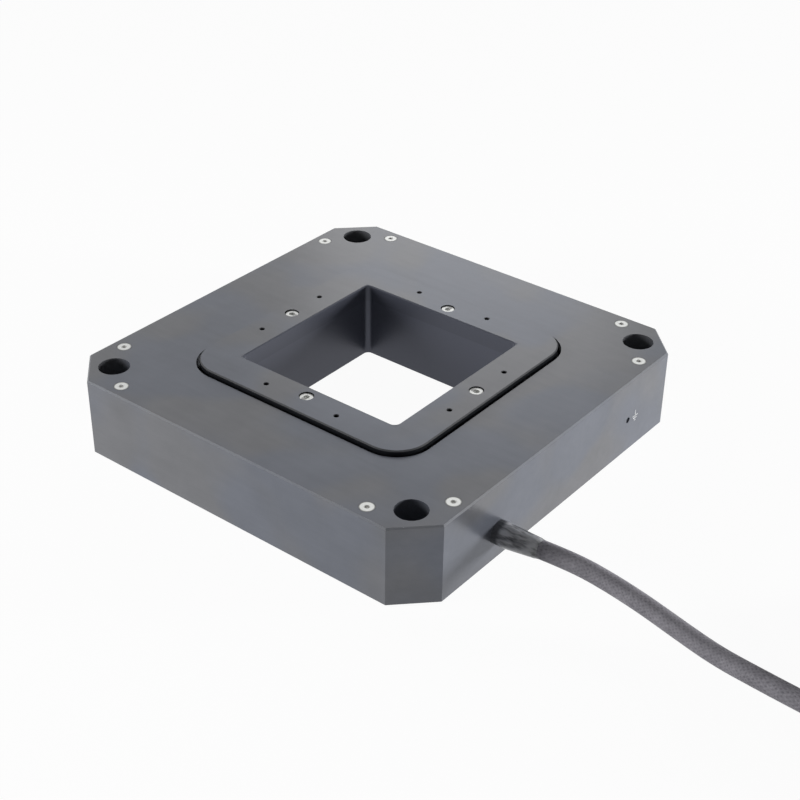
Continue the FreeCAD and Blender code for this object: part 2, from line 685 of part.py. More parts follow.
def on_both_sides(make):
    """Copies of what make(level) gives, at both leaf levels and on both X sides."""
    found = []
    for level in LEAF_LEVELS:
        piece = make(level)
        found += [piece, piece.mirror(V(0, 0, 0), V(1, 0, 0))]
    return found


def guide_leaves():
    """The four leaves: upper and lower on each X side."""
    return on_both_sides(lambda level: at(guide_leaf(), 0, 0, level))


def clamp_strip(x0, x1, level):
    """A strip that clamps a leaf's rail, with its two screw holes."""
    low = level + LEAF_T
    strip = box(x0, x1, -LEAF_HALF, LEAF_HALF, low, low + CLAMP_T)
    middle = (x0 + x1) / 2
    holes = [
        Part.makeCylinder(M16_CAP.thread_r + THREAD_GAP, CLAMP_T, V(middle, y, low))
        for y in (CLAMP_SCREW_ALONG, -CLAMP_SCREW_ALONG)
    ]
    return strip.cut(holes)


def sleeve_clamps():
    """The strips on the sleeve's ledges."""
    x0, x1 = SLEEVE_OUT + LEAF_WALL_GAP, SLEEVE_OUT + LEAF_RAIL - LEAF_WALL_GAP
    return on_both_sides(lambda level: clamp_strip(x0, x1, level))


def frame_clamps():
    """The strips on the inner frame's ledges."""
    x0, x1 = INNER_IN - LEAF_RAIL + LEAF_WALL_GAP, INNER_IN - LEAF_WALL_GAP
    return on_both_sides(lambda level: clamp_strip(x0, x1, level))


def clamp_taps(x):
    """Tapped holes for the clamp screws, through leaf and ledge, at the distance x."""
    depth = LEAF_LEDGE_T + LEAF_T
    return [
        Part.makeCylinder(
            M16_CAP.thread_r + THREAD_GAP, depth, V(sx * x, y, level - LEAF_LEDGE_T)
        )
        for level in LEAF_LEVELS
        for sx in (1, -1)
        for y in (CLAMP_SCREW_ALONG, -CLAMP_SCREW_ALONG)
    ]


def clamp_screws(x):
    """The screws through the clamp strips at the distance x."""
    length = CLAMP_T + LEAF_T + LEAF_LEDGE_T / 2
    screw = cap_screw(M16_CAP, 0, length)
    return [
        at(screw, sx * x, y, level + LEAF_T + CLAMP_T)
        for level in LEAF_LEVELS
        for sx in (1, -1)
        for y in (CLAMP_SCREW_ALONG, -CLAMP_SCREW_ALONG)
    ]


def sensor_half(thickness):
    """Half of a sensor: a plate at x = 0 with a round electrode that ends at x = thickness."""
    plate = box(
        0, SENSOR_PLATE_T, -SENSOR_HALF_L, SENSOR_HALF_L, -SENSOR_HALF_H, SENSOR_HALF_H
    )
    return plate.fuse(rod(SENSOR_FACE_R, (0, 0, 0), (thickness, 0, 0)))


def channel_sensor(near, far):
    """A probe on the far wall of a channel and a target on the near one, along X."""
    thickness = (far - near - SENSOR_GAP) / 2
    target = at(sensor_half(thickness), near, 0, FRAME_MID_Z)
    probe = sensor_half(thickness).mirror(V(0, 0, 0), V(1, 0, 0))
    return at(probe, far, 0, FRAME_MID_Z), target


def x_sensor():
    """The X probe and target, in the channel on the -X side."""
    return [s.mirror(V(0, 0, 0), V(1, 0, 0)) for s in channel_sensor(OUTER_X, POCKET)]


def y_sensor():
    """The Y probe and target, in the channel on the -Y side."""
    pair = channel_sensor(INNER_OUT, OUTER_IN_Y)
    return [quarter_turned(s).mirror(V(0, 0, 0), V(0, 1, 0)) for s in pair]


def z_sensor():
    """The Z probe on the inner frame and the target over it on the sleeve, on the -X side."""
    target_z1 = LEAF_LEVELS[1] - LEAF_LEDGE_T
    target_z0 = target_z1 - Z_TARGET_T
    probe_z1 = target_z0 - SENSOR_GAP
    target = box(
        -INNER_IN + LEAF_RAIL + Z_TARGET_END_GAP, -SLEEVE_OUT, -Z_SENSOR_HALF, Z_SENSOR_HALF,
        target_z0, target_z1,
    )
    probe = box(
        -INNER_IN, -SLEEVE_OUT - Z_PROBE_END_GAP, -Z_SENSOR_HALF, Z_SENSOR_HALF,
        probe_z1 - Z_PROBE_T, probe_z1,
    )
    return probe, target


def clamp_screw_places():
    """Where the cable clamp's two screws enter the wall, as (y, z)."""
    side = (CLAMP_BLOCK_SIDE + BOOT_TAIL_R) / 2
    return [(CABLE_Y - side, CABLE_Z), (CABLE_Y + side, CABLE_Z)]


def cable_clamp():
    """The block that grips the cable's sleeve inside the wall."""
    block = box(
        POCKET - CLAMP_BLOCK_T, POCKET, CABLE_Y - CLAMP_BLOCK_SIDE, CABLE_Y + CLAMP_BLOCK_SIDE,
        CABLE_Z - CLAMP_BLOCK_HALF, CABLE_Z + CLAMP_BLOCK_HALF,
    )
    way = V(POCKET - CLAMP_BLOCK_T, CABLE_Y, CABLE_Z)
    cuts = [Part.makeCylinder(BOOT_TAIL_R, CLAMP_BLOCK_T, way, V(1, 0, 0))]
    for y, z in clamp_screw_places():
        start = V(POCKET - CLAMP_BLOCK_T, y, z)
        cuts.append(
            Part.makeCylinder(M2_CAP.thread_r + THREAD_GAP, CLAMP_BLOCK_T, start, V(1, 0, 0))
        )
    return block.cut(cuts)


def cable_clamp_screws():
    """The two screws of the cable clamp, their heads in the channel."""
    screw = cap_screw(M2_CAP, 0, CLAMP_BLOCK_T + OUTER_WALL / 3)
    screw.rotate(V(0, 0, 0), V(0, 1, 0), -90)
    return [at(screw, POCKET - CLAMP_BLOCK_T, y, z) for y, z in clamp_screw_places()]


def boot_line(distance):
    """A point on the middle line of the boot's rising part, from its knee onwards."""
    run = distance / math.hypot(1, BOOT_RISE)
    return (HALF + BOOT_KNEE + run, CABLE_Y, CABLE_Z + run * BOOT_RISE)


def cable_boot():
    """The shrunk sleeve over the cable's end: a plug in the wall, then a rising taper."""
    tail = (POCKET - CLAMP_BLOCK_T, CABLE_Y, CABLE_Z)
    face = (HALF, CABLE_Y, CABLE_Z)
    knee, lip, tip = [V(*boot_line(d)) for d in (0, BOOT_LENGTH - BOOT_LIP, BOOT_LENGTH)]
    plug = rod(BOOT_TAIL_R, tail, face)
    parts = [
        rod(BOOT_ROOT_R, face, knee),
        Part.makeSphere(BOOT_ROOT_R, knee),
        Part.makeCone(BOOT_ROOT_R, BOOT_TIP_R, (lip - knee).Length, knee, lip - knee),
        Part.makeCone(BOOT_TIP_R, CABLE_R, BOOT_LIP, lip, tip - lip),
    ]
    return plug.fuse(parts)


def board_level():
    """Underside of the terminal board, so that it clears the cable clamp."""
    return CABLE_Z - CLAMP_BLOCK_HALF - BOARD_GAP - BOARD_T


def board_span():
    """The terminal board's reach in X and Y."""
    x1 = POCKET - BOARD_GAP
    middle = CABLE_Y
    return OUTER_X + FRAME_GAP, x1, middle - BOARD_LENGTH / 2, middle + BOARD_LENGTH / 2


def board_posts():
    """Two feet in the channel under the terminal board, part of the body."""
    x0, x1, y0, y1 = board_span()
    middle = (x0 + x1) / 2
    feet = []
    for y in (y0, y1 - LINK_BOSS_W):
        feet.append(box(middle, POCKET + ROOTED, y, y + LINK_BOSS_W, BOTTOM_COVER_T, board_level()))
    return feet


def terminal_board():
    """The small board on which the cable's wires end."""
    x0, x1, y0, y1 = board_span()
    return box(x0, x1, y0, y1, board_level(), board_level() + BOARD_T)


def bent_lead(points, radius):
    """A wire through right-angled corners with round bends."""
    corners_v = [V(*p) for p in points]
    edges = []
    here = corners_v[0]
    for before, corner, after in zip(corners_v, corners_v[1:], corners_v[2:]):
        back = (before - corner).normalize() * LEAD_BEND_R
        ahead = (after - corner).normalize() * LEAD_BEND_R
        middle = corner + (back + ahead) * (1 - 1 / ROOT2)
        edges.append(Part.makeLine(here, corner + back))
        edges.append(Part.Arc(corner + back, middle, corner + ahead).toShape())
        here = corner + ahead
    edges.append(Part.makeLine(here, corners_v[-1]))
    return swept(Part.Wire(edges), radius)


def swept(path, radius):
    """A round section along a smooth path."""
    start = path.Edges[0].valueAt(path.Edges[0].FirstParameter)
    heading = path.Edges[0].tangentAt(path.Edges[0].FirstParameter)
    section = Part.Wire(Part.makeCircle(radius, start, heading))
    return path.makePipeShell([section], True, True)


def cable_leads():
    """Four wires from the cable's end down to the board."""
    start_x = POCKET - CLAMP_BLOCK_T
    top = board_level() + BOARD_T
    leads = []
    for index in range(4):
        y = CABLE_Y + (index - 1.5) * LEAD_PITCH
        drop = start_x - LEAD_BEND_R - LEAD_R
        leads.append(bent_lead([(start_x, y, CABLE_Z), (drop, y, CABLE_Z), (drop, y, top)], LEAD_R))
    return leads


def x_drive_leads():
    """Two wires from the board to the X stack."""
    x0, x1, y0, y1 = board_span()
    top = board_level() + BOARD_T
    stack_z = FRAME_MID_Z - DRIVE_DEPTH / 2 + STACK_TOP_MARGIN
    run_z = top + LEAD_BEND_R + LEAD_R
    end_y = -DRIVE_HALF + DRIVE_BLOCK + 2 * STACK_CAP_T
    leads = []
    for sign in (-1, 1):
        x = X_LINK_MID + sign * LEAD_PITCH
        start_y = y1 - 2 * LEAD_R
        route = [(x, start_y, top), (x, start_y, run_z), (x, end_y, run_z), (x, end_y, stack_z)]
        leads.append(bent_lead(route, LEAD_R))
    return leads


# The cable's route outside the body, its coil and its connector.
CABLE_ROUTE = [
    boot_line(BOOT_LENGTH),
    boot_line(2 * BOOT_LENGTH),
    (115.0, -35.2, 10.9),
    (127.0, -35.2, 8.8),
    (139.0, -35.2, 5.8),
    (151.0, -35.4, 3.3),
    (163.0, -36.0, 3.0),
    (182.0, -37.0, 3.0),
    (199.0, -36.8, 3.0),
    (214.0, -36.0, 3.0),
]
COIL_X = 214.0
COIL_Y = 6.0
COIL_R = 33.0                 # middle of the coil's turns
COIL_BAND = 24.0              # width of the turns side by side
COIL_LAYERS = 2
COIL_EDGE = 2.0
TIE_W = 6.0                   # the strap round the coil, on its -X side
TIE_T = 0.7
TIE_GAP = 0.1
TIE_HEAD_H = 4.5
TIE_HEAD_T = 3.5
TAIL_ROUTE = [
    (256.0, 6.0, 9.0),
    (256.4, 19.0, 8.6),
    (256.0, 33.0, 7.8),
    (256.0, 46.0, 7.8),
]


def cord_tube(route, radius):
    """A round tube along straight runs joined by arcs as large as the runs allow."""
    points = [V(*p) for p in route]
    edges = []
    radii = []
    here = points[0]
    for before, corner, after in zip(points, points[1:], points[2:]):
        back, ahead = before - corner, after - corner
        reach = 0.45 * min(back.Length, ahead.Length)
        turn = math.pi - back.getAngle(ahead)
        radii.append(reach / math.tan(turn / 2))
        back.normalize()
        ahead.normalize()
        start, end = corner + back * reach, corner + ahead * reach
        inward = (back + ahead).normalize()
        to_centre = reach / math.tan(turn / 2) / math.cos(turn / 2)
        middle = corner + inward * (to_centre - radii[-1])
        edges.append(Part.LineSegment(here, start).toShape())
        edges.append(Part.Arc(start, middle, end).toShape())
        here = end
    edges.append(Part.LineSegment(here, points[-1]).toShape())
    path = Part.Wire(edges)
    tube = swept(path, radius)
    share = tube.Volume / (math.pi * radius ** 2 * path.Length)
    print("cord length", round(path.Length, 1), "volume share", round(share, 4))
    print("bend radii", [round(r) for r in radii])
    return tube


def coil_section(middle, grown, low):
    """The coil's cut face with its broken edges, grown on all sides but the lowest."""
    edge = COIL_EDGE + grown * (2 - ROOT2)
    left, right = middle - COIL_BAND / 2 - grown, middle + COIL_BAND / 2 + grown
    high = 2 * CABLE_R * COIL_LAYERS + grown
    return [
        (left, low + edge),
        (left + edge, low),
        (right - edge, low),
        (right, low + edge),
        (right, high - edge),
        (right - edge, high),
        (left + edge, high),
        (left, high - edge),
    ]


def cable_coil():
    """The put-away length as one ring with rounded edges, pinched where it is tied."""
    points = [V(r, 0, z) for r, z in coil_section(COIL_R, 0, 0)]
    ring = Part.Face(Part.makePolygon(points + points[:1])).revolve(V(0, 0, 0), V(0, 0, 1), 360)
    ring = at(ring, COIL_X, COIL_Y, 0)
    half, middle = TIE_W / 2 + TIE_GAP, COIL_X - COIL_R
    reach = COIL_BAND / 2 + COIL_EDGE
    pinch = box(
        middle - reach, middle + reach, COIL_Y - half, COIL_Y + half, 0, 2 * CABLE_R * COIL_LAYERS
    )
    kept = upright_prism(coil_section(middle, 0, TIE_T + TIE_GAP), COIL_Y - half, COIL_Y + half)
    return ring.cut(pinch.cut(kept))


def coil_tie():
    """The strap that holds the coil together, with its head on the outside."""
    y0, y1, middle = COIL_Y - TIE_W / 2, COIL_Y + TIE_W / 2, COIL_X - COIL_R
    outside = upright_prism(coil_section(middle, TIE_GAP + TIE_T, 0), y0, y1)
    inside = upright_prism(coil_section(middle, TIE_GAP, TIE_T), y0, y1)
    face = middle - COIL_BAND / 2 - TIE_GAP
    head_z0 = CABLE_R * COIL_LAYERS - TIE_HEAD_H / 2
    head = box(face - TIE_HEAD_T, face, y0 - TIE_T, y1 + TIE_T, head_z0, head_z0 + TIE_HEAD_H)
    return outside.cut(inside).fuse(head).removeSplitter()


# The connector lies flat behind the coil, facing +Y. Its rear end takes the cable.
HOOD_W = 39.0
HOOD_LENGTH = 34.0
HOOD_H = 15.6
HOOD_SHOULDER = 12.0          # length of the tapered rear
HOOD_REAR_W = 15.0
HOOD_EDGE = 1.2
HOOD_SEAM = 0.3               # width and depth of the groove between the hood's halves
HOOD_SCREW_X = 9.0            # each side of the middle
HOOD_SCREW_Y = 21.0           # from the rear face
HOOD_SCREW_SINK = 0.4
HOOD_SCREW_LENGTH = 8.0
COLLAR_R = 4.4
COLLAR_LENGTH = 6.0
FLANGE_W = 39.0
FLANGE_H = 12.4
CONTACT_FLANGE_T = 1.2
SHELL_W = 24.8
SHELL_H = 8.2
SHELL_LENGTH = 5.8
SHELL_SLOPE = 0.18            # how far the shell's sides lean, as a share of its height
SHELL_WALL = 0.5
PIN_PITCH = 2.74
PIN_ROW_GAP = 2.84
PIN_COUNT = 15
PIN_R = 0.5
JACK_SPACING = 33.3
JACK_R = 1.4
JACK_KNOB_R = 2.6
JACK_KNOB_LENGTH = 9.0
JACK_TIP = 5.0
FLUTES = 10                   # grip grooves round a hand screw
FLUTE_R = 0.45


def hood_origin():
    """Where the hood's rear face is centred, from the end of the cable's route."""
    x, y, _ = TAIL_ROUTE[-1]
    return x, y + COLLAR_LENGTH


def hood_outline(inset):
    """The hood's outline in plan, with each side moved in."""
    x, y = hood_origin()
    half, rear = HOOD_W / 2 - inset, HOOD_REAR_W / 2 - inset
    return [
        (x - rear, y + inset),
        (x + rear, y + inset),
        (x + half, y + HOOD_SHOULDER),
        (x + half, y + HOOD_LENGTH - inset),
        (x - half, y + HOOD_LENGTH - inset),
        (x - half, y + HOOD_SHOULDER),
    ]


def jack_places():
    """The X places of the two hand screws."""
    x, _ = hood_origin()
    return [x - JACK_SPACING / 2, x + JACK_SPACING / 2]


def hood_screw_places():
    """Where the two screws that close the hood stand, with the level under their heads."""
    x, y = hood_origin()
    seat = HOOD_H - HOOD_SCREW_SINK - M2_CAP.head_h
    return [(x + side * HOOD_SCREW_X, y + HOOD_SCREW_Y, seat) for side in (-1, 1)]


def connector_hood():
    """The moulded hood that closes round the cable, with a seam at half its height."""
    x, y = hood_origin()
    z = HOOD_H / 2
    hood = prism(hood_outline(0), 0, HOOD_H)
    flat = [e for e in hood.Edges if abs(e.tangentAt(e.FirstParameter).z) < 0.5]
    hood = hood.makeChamfer(HOOD_EDGE, flat)
    seam_z0, seam_z1 = z - HOOD_SEAM / 2, z + HOOD_SEAM / 2
    seam = prism(hood_outline(0), seam_z0, seam_z1)
    hood = hood.cut(seam.cut(prism(hood_outline(HOOD_SEAM), seam_z0, seam_z1)))
    collar = rod(COLLAR_R, (x, y - COLLAR_LENGTH, z), (x, y + HOOD_EDGE, z))
    cuts = []
    for jack_x in jack_places():
        start, knob_end = (jack_x, y, z), (jack_x, y + HOOD_SHOULDER + JACK_KNOB_R, z)
        cuts.append(rod(JACK_KNOB_R + HEAD_GAP, start, knob_end))
        cuts.append(rod(JACK_R + THREAD_GAP, start, (jack_x, y + HOOD_LENGTH, z)))
    for sx, sy, seat in hood_screw_places():
        cuts.append(rod(M2_CAP.head_r + HEAD_GAP, (sx, sy, seat), (sx, sy, HOOD_H)))
        deep = (sx, sy, seat - HOOD_SCREW_LENGTH - TAP_RUNOUT)
        cuts.append(rod(M2_CAP.thread_r + THREAD_GAP, deep, (sx, sy, seat)))
    return hood.fuse(collar).cut(cuts)


def connector_hood_screws():
    """The two screws that close the hood."""
    screw = cap_screw(M2_CAP, 0, HOOD_SCREW_LENGTH)
    return [at(screw, *place) for place in hood_screw_places()]


def shell_outline(width, height, middle_z):
    """The leaning-sided outline of the connector's mating face, as (x, z) points."""
    x, _ = hood_origin()
    lean = height * SHELL_SLOPE
    low, high = middle_z - height / 2, middle_z + height / 2
    return [
        (x - width / 2 + lean, low),
        (x + width / 2 - lean, low),
        (x + width / 2, high),
        (x - width / 2, high),
    ]


def upright_prism(points, y0, y1):
    """An outline in X and Z, drawn out along Y."""
    ring = [V(x, y0, z) for x, z in points]
    return Part.Face(Part.makePolygon(ring + ring[:1])).extrude(V(0, y1 - y0, 0))


def contact_face_y():
    """The hood's front, where the connector's flange seats."""
    return hood_origin()[1] + HOOD_LENGTH


def connector_shell():
    """The metal flange with its leaning-sided collar."""
    x, _ = hood_origin()
    y, z = contact_face_y(), HOOD_H / 2
    flange = box(
        x - FLANGE_W / 2, x + FLANGE_W / 2, y, y + CONTACT_FLANGE_T, z - FLANGE_H / 2, z + FLANGE_H / 2
    )
    end = y + CONTACT_FLANGE_T + SHELL_LENGTH
    collar = upright_prism(shell_outline(SHELL_W, SHELL_H, z), y, end)
    inside = 2 * SHELL_WALL
    hollow = upright_prism(shell_outline(SHELL_W - inside, SHELL_H - inside, z), y, end)
    cuts = [hollow]
    for jack_x in jack_places():
        cuts.append(rod(JACK_R + THREAD_GAP, (jack_x, y, z), (jack_x, y + CONTACT_FLANGE_T, z)))
    return flange.fuse(collar).cut(cuts)


def connector_insert():
    """The moulded block in the shell, with its two rows of contacts."""
    x, _ = hood_origin()
    y, z = contact_face_y(), HOOD_H / 2
    inside = 2 * SHELL_WALL
    block = upright_prism(
        shell_outline(SHELL_W - inside, SHELL_H - inside, z), y, y + CONTACT_FLANGE_T
    )
    pins = []
    upper = (PIN_COUNT + 1) // 2
    for row, count in ((1, upper), (-1, PIN_COUNT - upper)):
        for k in range(count):
            pin_x = x + (k - (count - 1) / 2) * PIN_PITCH
            pin_z = z + row * PIN_ROW_GAP / 2
            tip = y + CONTACT_FLANGE_T + SHELL_LENGTH - SHELL_WALL
            pins.append(rod(PIN_R, (pin_x, y + CONTACT_FLANGE_T, pin_z), (pin_x, tip, pin_z)))
    return [block] + pins


def connector_jackscrews():
    """The two hand screws that lock the connector."""
    z = HOOD_H / 2
    knob_end = hood_origin()[1] + HOOD_SHOULDER + JACK_KNOB_R
    start = knob_end - JACK_KNOB_LENGTH
    end = contact_face_y() + CONTACT_FLANGE_T + JACK_TIP
    screws = []
    for jack_x in jack_places():
        knob = rod(JACK_KNOB_R, (jack_x, start, z), (jack_x, knob_end, z))
        flutes = []
        for k in range(FLUTES):
            angle = 2 * math.pi * k / FLUTES
            fx, fz = jack_x + JACK_KNOB_R * math.cos(angle), z + JACK_KNOB_R * math.sin(angle)
            flutes.append(rod(FLUTE_R, (fx, start, fz), (fx, knob_end - FLUTE_R, fz)))
        screws.append(knob.cut(flutes).fuse(rod(JACK_R, (jack_x, start, z), (jack_x, end, z))))
    return screws


def save(name, shapes):
    """Writes one node: a solid, or a group of separate ones."""
    group = shapes if isinstance(shapes, list) else [shapes]
    solids = [s for shape in group for s in shape.Solids]
    shape = solids[0] if len(solids) == 1 else Part.makeCompound(solids)
    if not shape.isValid():
        print("not valid:", name)
    shape.exportStep("parts/" + name + ".step")
    print(name, len(solids), "solids", round(shape.Volume / 1000, 2), "cm3")


def save_drive(axis, groups):
    """Writes the four nodes of one axis's drive."""
    frames, stacks, caps, screws = groups
    save(axis + "_drive_frame", frames)
    save(axis + "_piezo_stack", stacks)
    save(axis + "_stack_end_caps", caps)
    save(axis + "_preload_screw", screws)


def main():
    """Builds every node."""
    os.makedirs("parts", exist_ok=True)
    save("body_frame", body_frame())
    save("top_cover", top_cover())
    save("bottom_cover", bottom_cover())
    top_screw = flat_screw(M25_FLAT, TOP_SCREW_LENGTH)
    save("top_cover_screws", [at(top_screw, x, y, COVER_Z1) for x, y in top_screw_places()])
    base_screw = flat_screw(M25_FLAT, BASE_SCREW_LENGTH)
    base_screws = [at(base_screw, x, y, 0, under=True) for x, y in base_screw_places()]
    save("bottom_cover_screws", base_screws)
    save("x_frame", x_frame())
    save("y_frame", y_frame())
    save("platform_sleeve", platform_sleeve())
    save("platform_plate", platform_plate())
    save("platform_screws", plate_screws())
    save("x_hinge_links", x_links())
    save("y_hinge_links", y_links())
    save_drive("x", drive_set(CHANNEL, DRIVE_DEPTH, place_x_drive))
    save_drive("y", drive_set(CHANNEL, DRIVE_DEPTH, place_y_drive))
    save_drive("z", z_drives())
    save("z_guide_leaves", guide_leaves())
    save("sleeve_leaf_clamps", sleeve_clamps())
    save("frame_leaf_clamps", frame_clamps())
    save("sleeve_clamp_screws", clamp_screws(SLEEVE_OUT + LEAF_RAIL / 2))
    save("frame_clamp_screws", clamp_screws(INNER_IN - LEAF_RAIL / 2))
    for axis, pair in (("x", x_sensor()), ("y", y_sensor()), ("z", z_sensor())):
        save(axis + "_sensor_probe", pair[0])
        save(axis + "_sensor_target", pair[1])
    save("cable_clamp", cable_clamp())
    save("cable_clamp_screws", cable_clamp_screws())
    save("terminal_board", terminal_board())
    save("cable_leads", cable_leads())
    save("x_drive_leads", x_drive_leads())
    save("cable_boot", cable_boot())
    save("cable", cord_tube(CABLE_ROUTE, CABLE_R))
    save("cable_coil", cable_coil())
    save("coil_tie", coil_tie())
    save("cable_tail", cord_tube(TAIL_ROUTE, CABLE_R))
    save("connector_hood", connector_hood())
    save("connector_hood_screws", connector_hood_screws())
    save("connector_shell", connector_shell())
    save("connector_insert", connector_insert())
    save("connector_jackscrews", connector_jackscrews())


main()
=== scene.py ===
"""Looks of a three-axis piezo positioning stage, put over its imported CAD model.

Every size is in metres, in the frame of the CAD model: +Z is up, and the origin is the
centre of the bottom face.
"""

import logging
import math
from dataclasses import dataclass
from enum import Enum
from typing import Dict, List, Optional, Sequence, Tuple, Union

import bmesh
import bpy
from mathutils import Matrix, Vector


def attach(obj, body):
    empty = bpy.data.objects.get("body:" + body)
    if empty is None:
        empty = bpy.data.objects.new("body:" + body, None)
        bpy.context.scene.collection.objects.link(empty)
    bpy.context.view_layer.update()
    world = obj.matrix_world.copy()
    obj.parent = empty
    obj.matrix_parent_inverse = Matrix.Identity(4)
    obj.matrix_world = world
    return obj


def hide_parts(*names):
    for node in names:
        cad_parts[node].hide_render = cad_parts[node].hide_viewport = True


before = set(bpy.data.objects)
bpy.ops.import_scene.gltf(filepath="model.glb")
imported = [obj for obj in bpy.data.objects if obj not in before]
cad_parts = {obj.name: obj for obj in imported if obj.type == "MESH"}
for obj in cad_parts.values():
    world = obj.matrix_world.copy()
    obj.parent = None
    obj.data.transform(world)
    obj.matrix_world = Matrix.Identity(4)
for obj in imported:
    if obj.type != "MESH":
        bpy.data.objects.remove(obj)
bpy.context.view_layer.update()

log = logging.getLogger("stage")

Point = Tuple[float, float, float]
Pair = Tuple[float, float]
Colour = Tuple[float, float, float, float]

MM = 0.001
TURN = 2 * math.pi
WHITE: Colour = (1.0, 1.0, 1.0, 1.0)

# The curve that turns a screen's levels into linear light.
TOP_LEVEL = 255
STRAIGHT_UNTIL = 0.04045
STRAIGHT_SLOPE = 12.92
CURVE_OFFSET = 0.055
CURVE_POWER = 2.4

# Sockets of a Mix node that mixes colours.
MIX_SHARE = 0
MIX_FIRST = 6
MIX_SECOND = 7
MIX_RESULT = 2

# How far a plain finish's roughness swings about its mean.
ROUGH_SWING = 0.06


def shade(red: int, green: int, blue: int) -> Colour:
    """Turns a colour as seen on a screen into the linear colour that a shader takes.

    Args:
        red: red, from 0 to 255.
        green: green, from 0 to 255.
        blue: blue, from 0 to 255.

    Returns:
        The linear colour, with an alpha of 1.
    """
    linear = []
    for level in (red, green, blue):
        share = level / TOP_LEVEL
        if share <= STRAIGHT_UNTIL:
            linear.append(share / STRAIGHT_SLOPE)
        else:
            linear.append(((share + CURVE_OFFSET) / (1 + CURVE_OFFSET)) ** CURVE_POWER)
    return (linear[0], linear[1], linear[2], 1.0)


def scaled(colour: Colour, factor: float) -> Colour:
    """The colour made darker or paler, with its alpha kept."""
    return (*(min(1.0, part * factor) for part in colour[:3]), colour[3])


class Signal:
    """One output socket of a shader tree, on which sums are written as plain maths."""

    def __init__(self, tree: "ShaderTree", socket: bpy.types.NodeSocket) -> None:
        """Keeps the tree and the socket."""
        self.tree = tree
        self.socket = socket

    def math(self, operation: str, *others: "Value") -> "Signal":
        """Feeds this value, then the others, to a Math node.

        Args:
            operation: the Math node's operation.
            others: the node's other values.

        Returns:
            The node's result.
        """
        values = dict(enumerate((self, *others)))
        return self.tree.add("ShaderNodeMath", {"operation": operation}, values)

    def __add__(self, other: "Value") -> "Signal":
        """Adds."""
        return self.math("ADD", other)

    def __radd__(self, other: "Value") -> "Signal":
        """Adds, from the right."""
        return self.math("ADD", other)

    def __sub__(self, other: "Value") -> "Signal":
        """Subtracts."""
        return self.math("SUBTRACT", other)

    def __rsub__(self, other: "Value") -> "Signal":
        """Subtracts this from the other."""
        return self.math("MULTIPLY", -1.0) + other

    def __mul__(self, other: "Value") -> "Signal":
        """Multiplies."""
        return self.math("MULTIPLY", other)

    def __rmul__(self, other: "Value") -> "Signal":
        """Multiplies, from the right."""
        return self.math("MULTIPLY", other)

    def __truediv__(self, other: "Value") -> "Signal":
        """Divides."""
        return self.math("DIVIDE", other)

    def __abs__(self) -> "Signal":
        """The size without its sign."""
        return self.math("ABSOLUTE")

    def squared(self) -> "Signal":
        """This value times itself."""
        return self.math("POWER", 2.0)

    def wave(self) -> "Signal":
        """A wave from 0 to 1, with this value as its angle."""
        return self.math("SINE") * 0.5 + 0.5

    def clamped(self) -> "Signal":
        """This value, kept between 0 and 1."""
        return self.math("MINIMUM", 1.0).math("MAXIMUM", 0.0)

    def about(self, mean: float) -> "Signal":
        """A roughness that swings evenly about its mean as this value goes from 0 to 1."""
        return self * (2 * ROUGH_SWING) + (mean - ROUGH_SWING)

    def ramp(self, low: float, high: float) -> "Signal":
        """Rises smoothly from 0 at low to 1 at high, or falls where low is the greater.

        Args:
            low: the value that gives 0.
            high: the value that gives 1.

        Returns:
            The eased value.
        """
        settings = {"interpolation_type": "SMOOTHSTEP", "clamp": True}
        inputs = {"Value": self, "From Min": low, "From Max": high}
        return self.tree.add("ShaderNodeMapRange", settings, inputs)

    def blend(self, first: "Value", second: "Value") -> "Signal":
        """Mixes two colours, with this value as the share of the second.

        Args:
            first: the colour at 0.
            second: the colour at 1.

        Returns:
            The mixed colour.
        """
        inputs = {MIX_SHARE: self, MIX_FIRST: first, MIX_SECOND: second}
        return self.tree.add("ShaderNodeMix", {"data_type": "RGBA"}, inputs, MIX_RESULT)

    def out(self, name: str) -> "Signal":
        """Another output of the same node."""
        return Signal(self.tree, self.socket.node.outputs[name])


Value = Union[Signal, float, Sequence[float]]


@dataclass(frozen=True)
class Noise:
    """A soft noise: the width of its lumps, its finer layers, and how strong those are."""

    size: float
    detail: float = 2.0
    roughness: float = 0.5


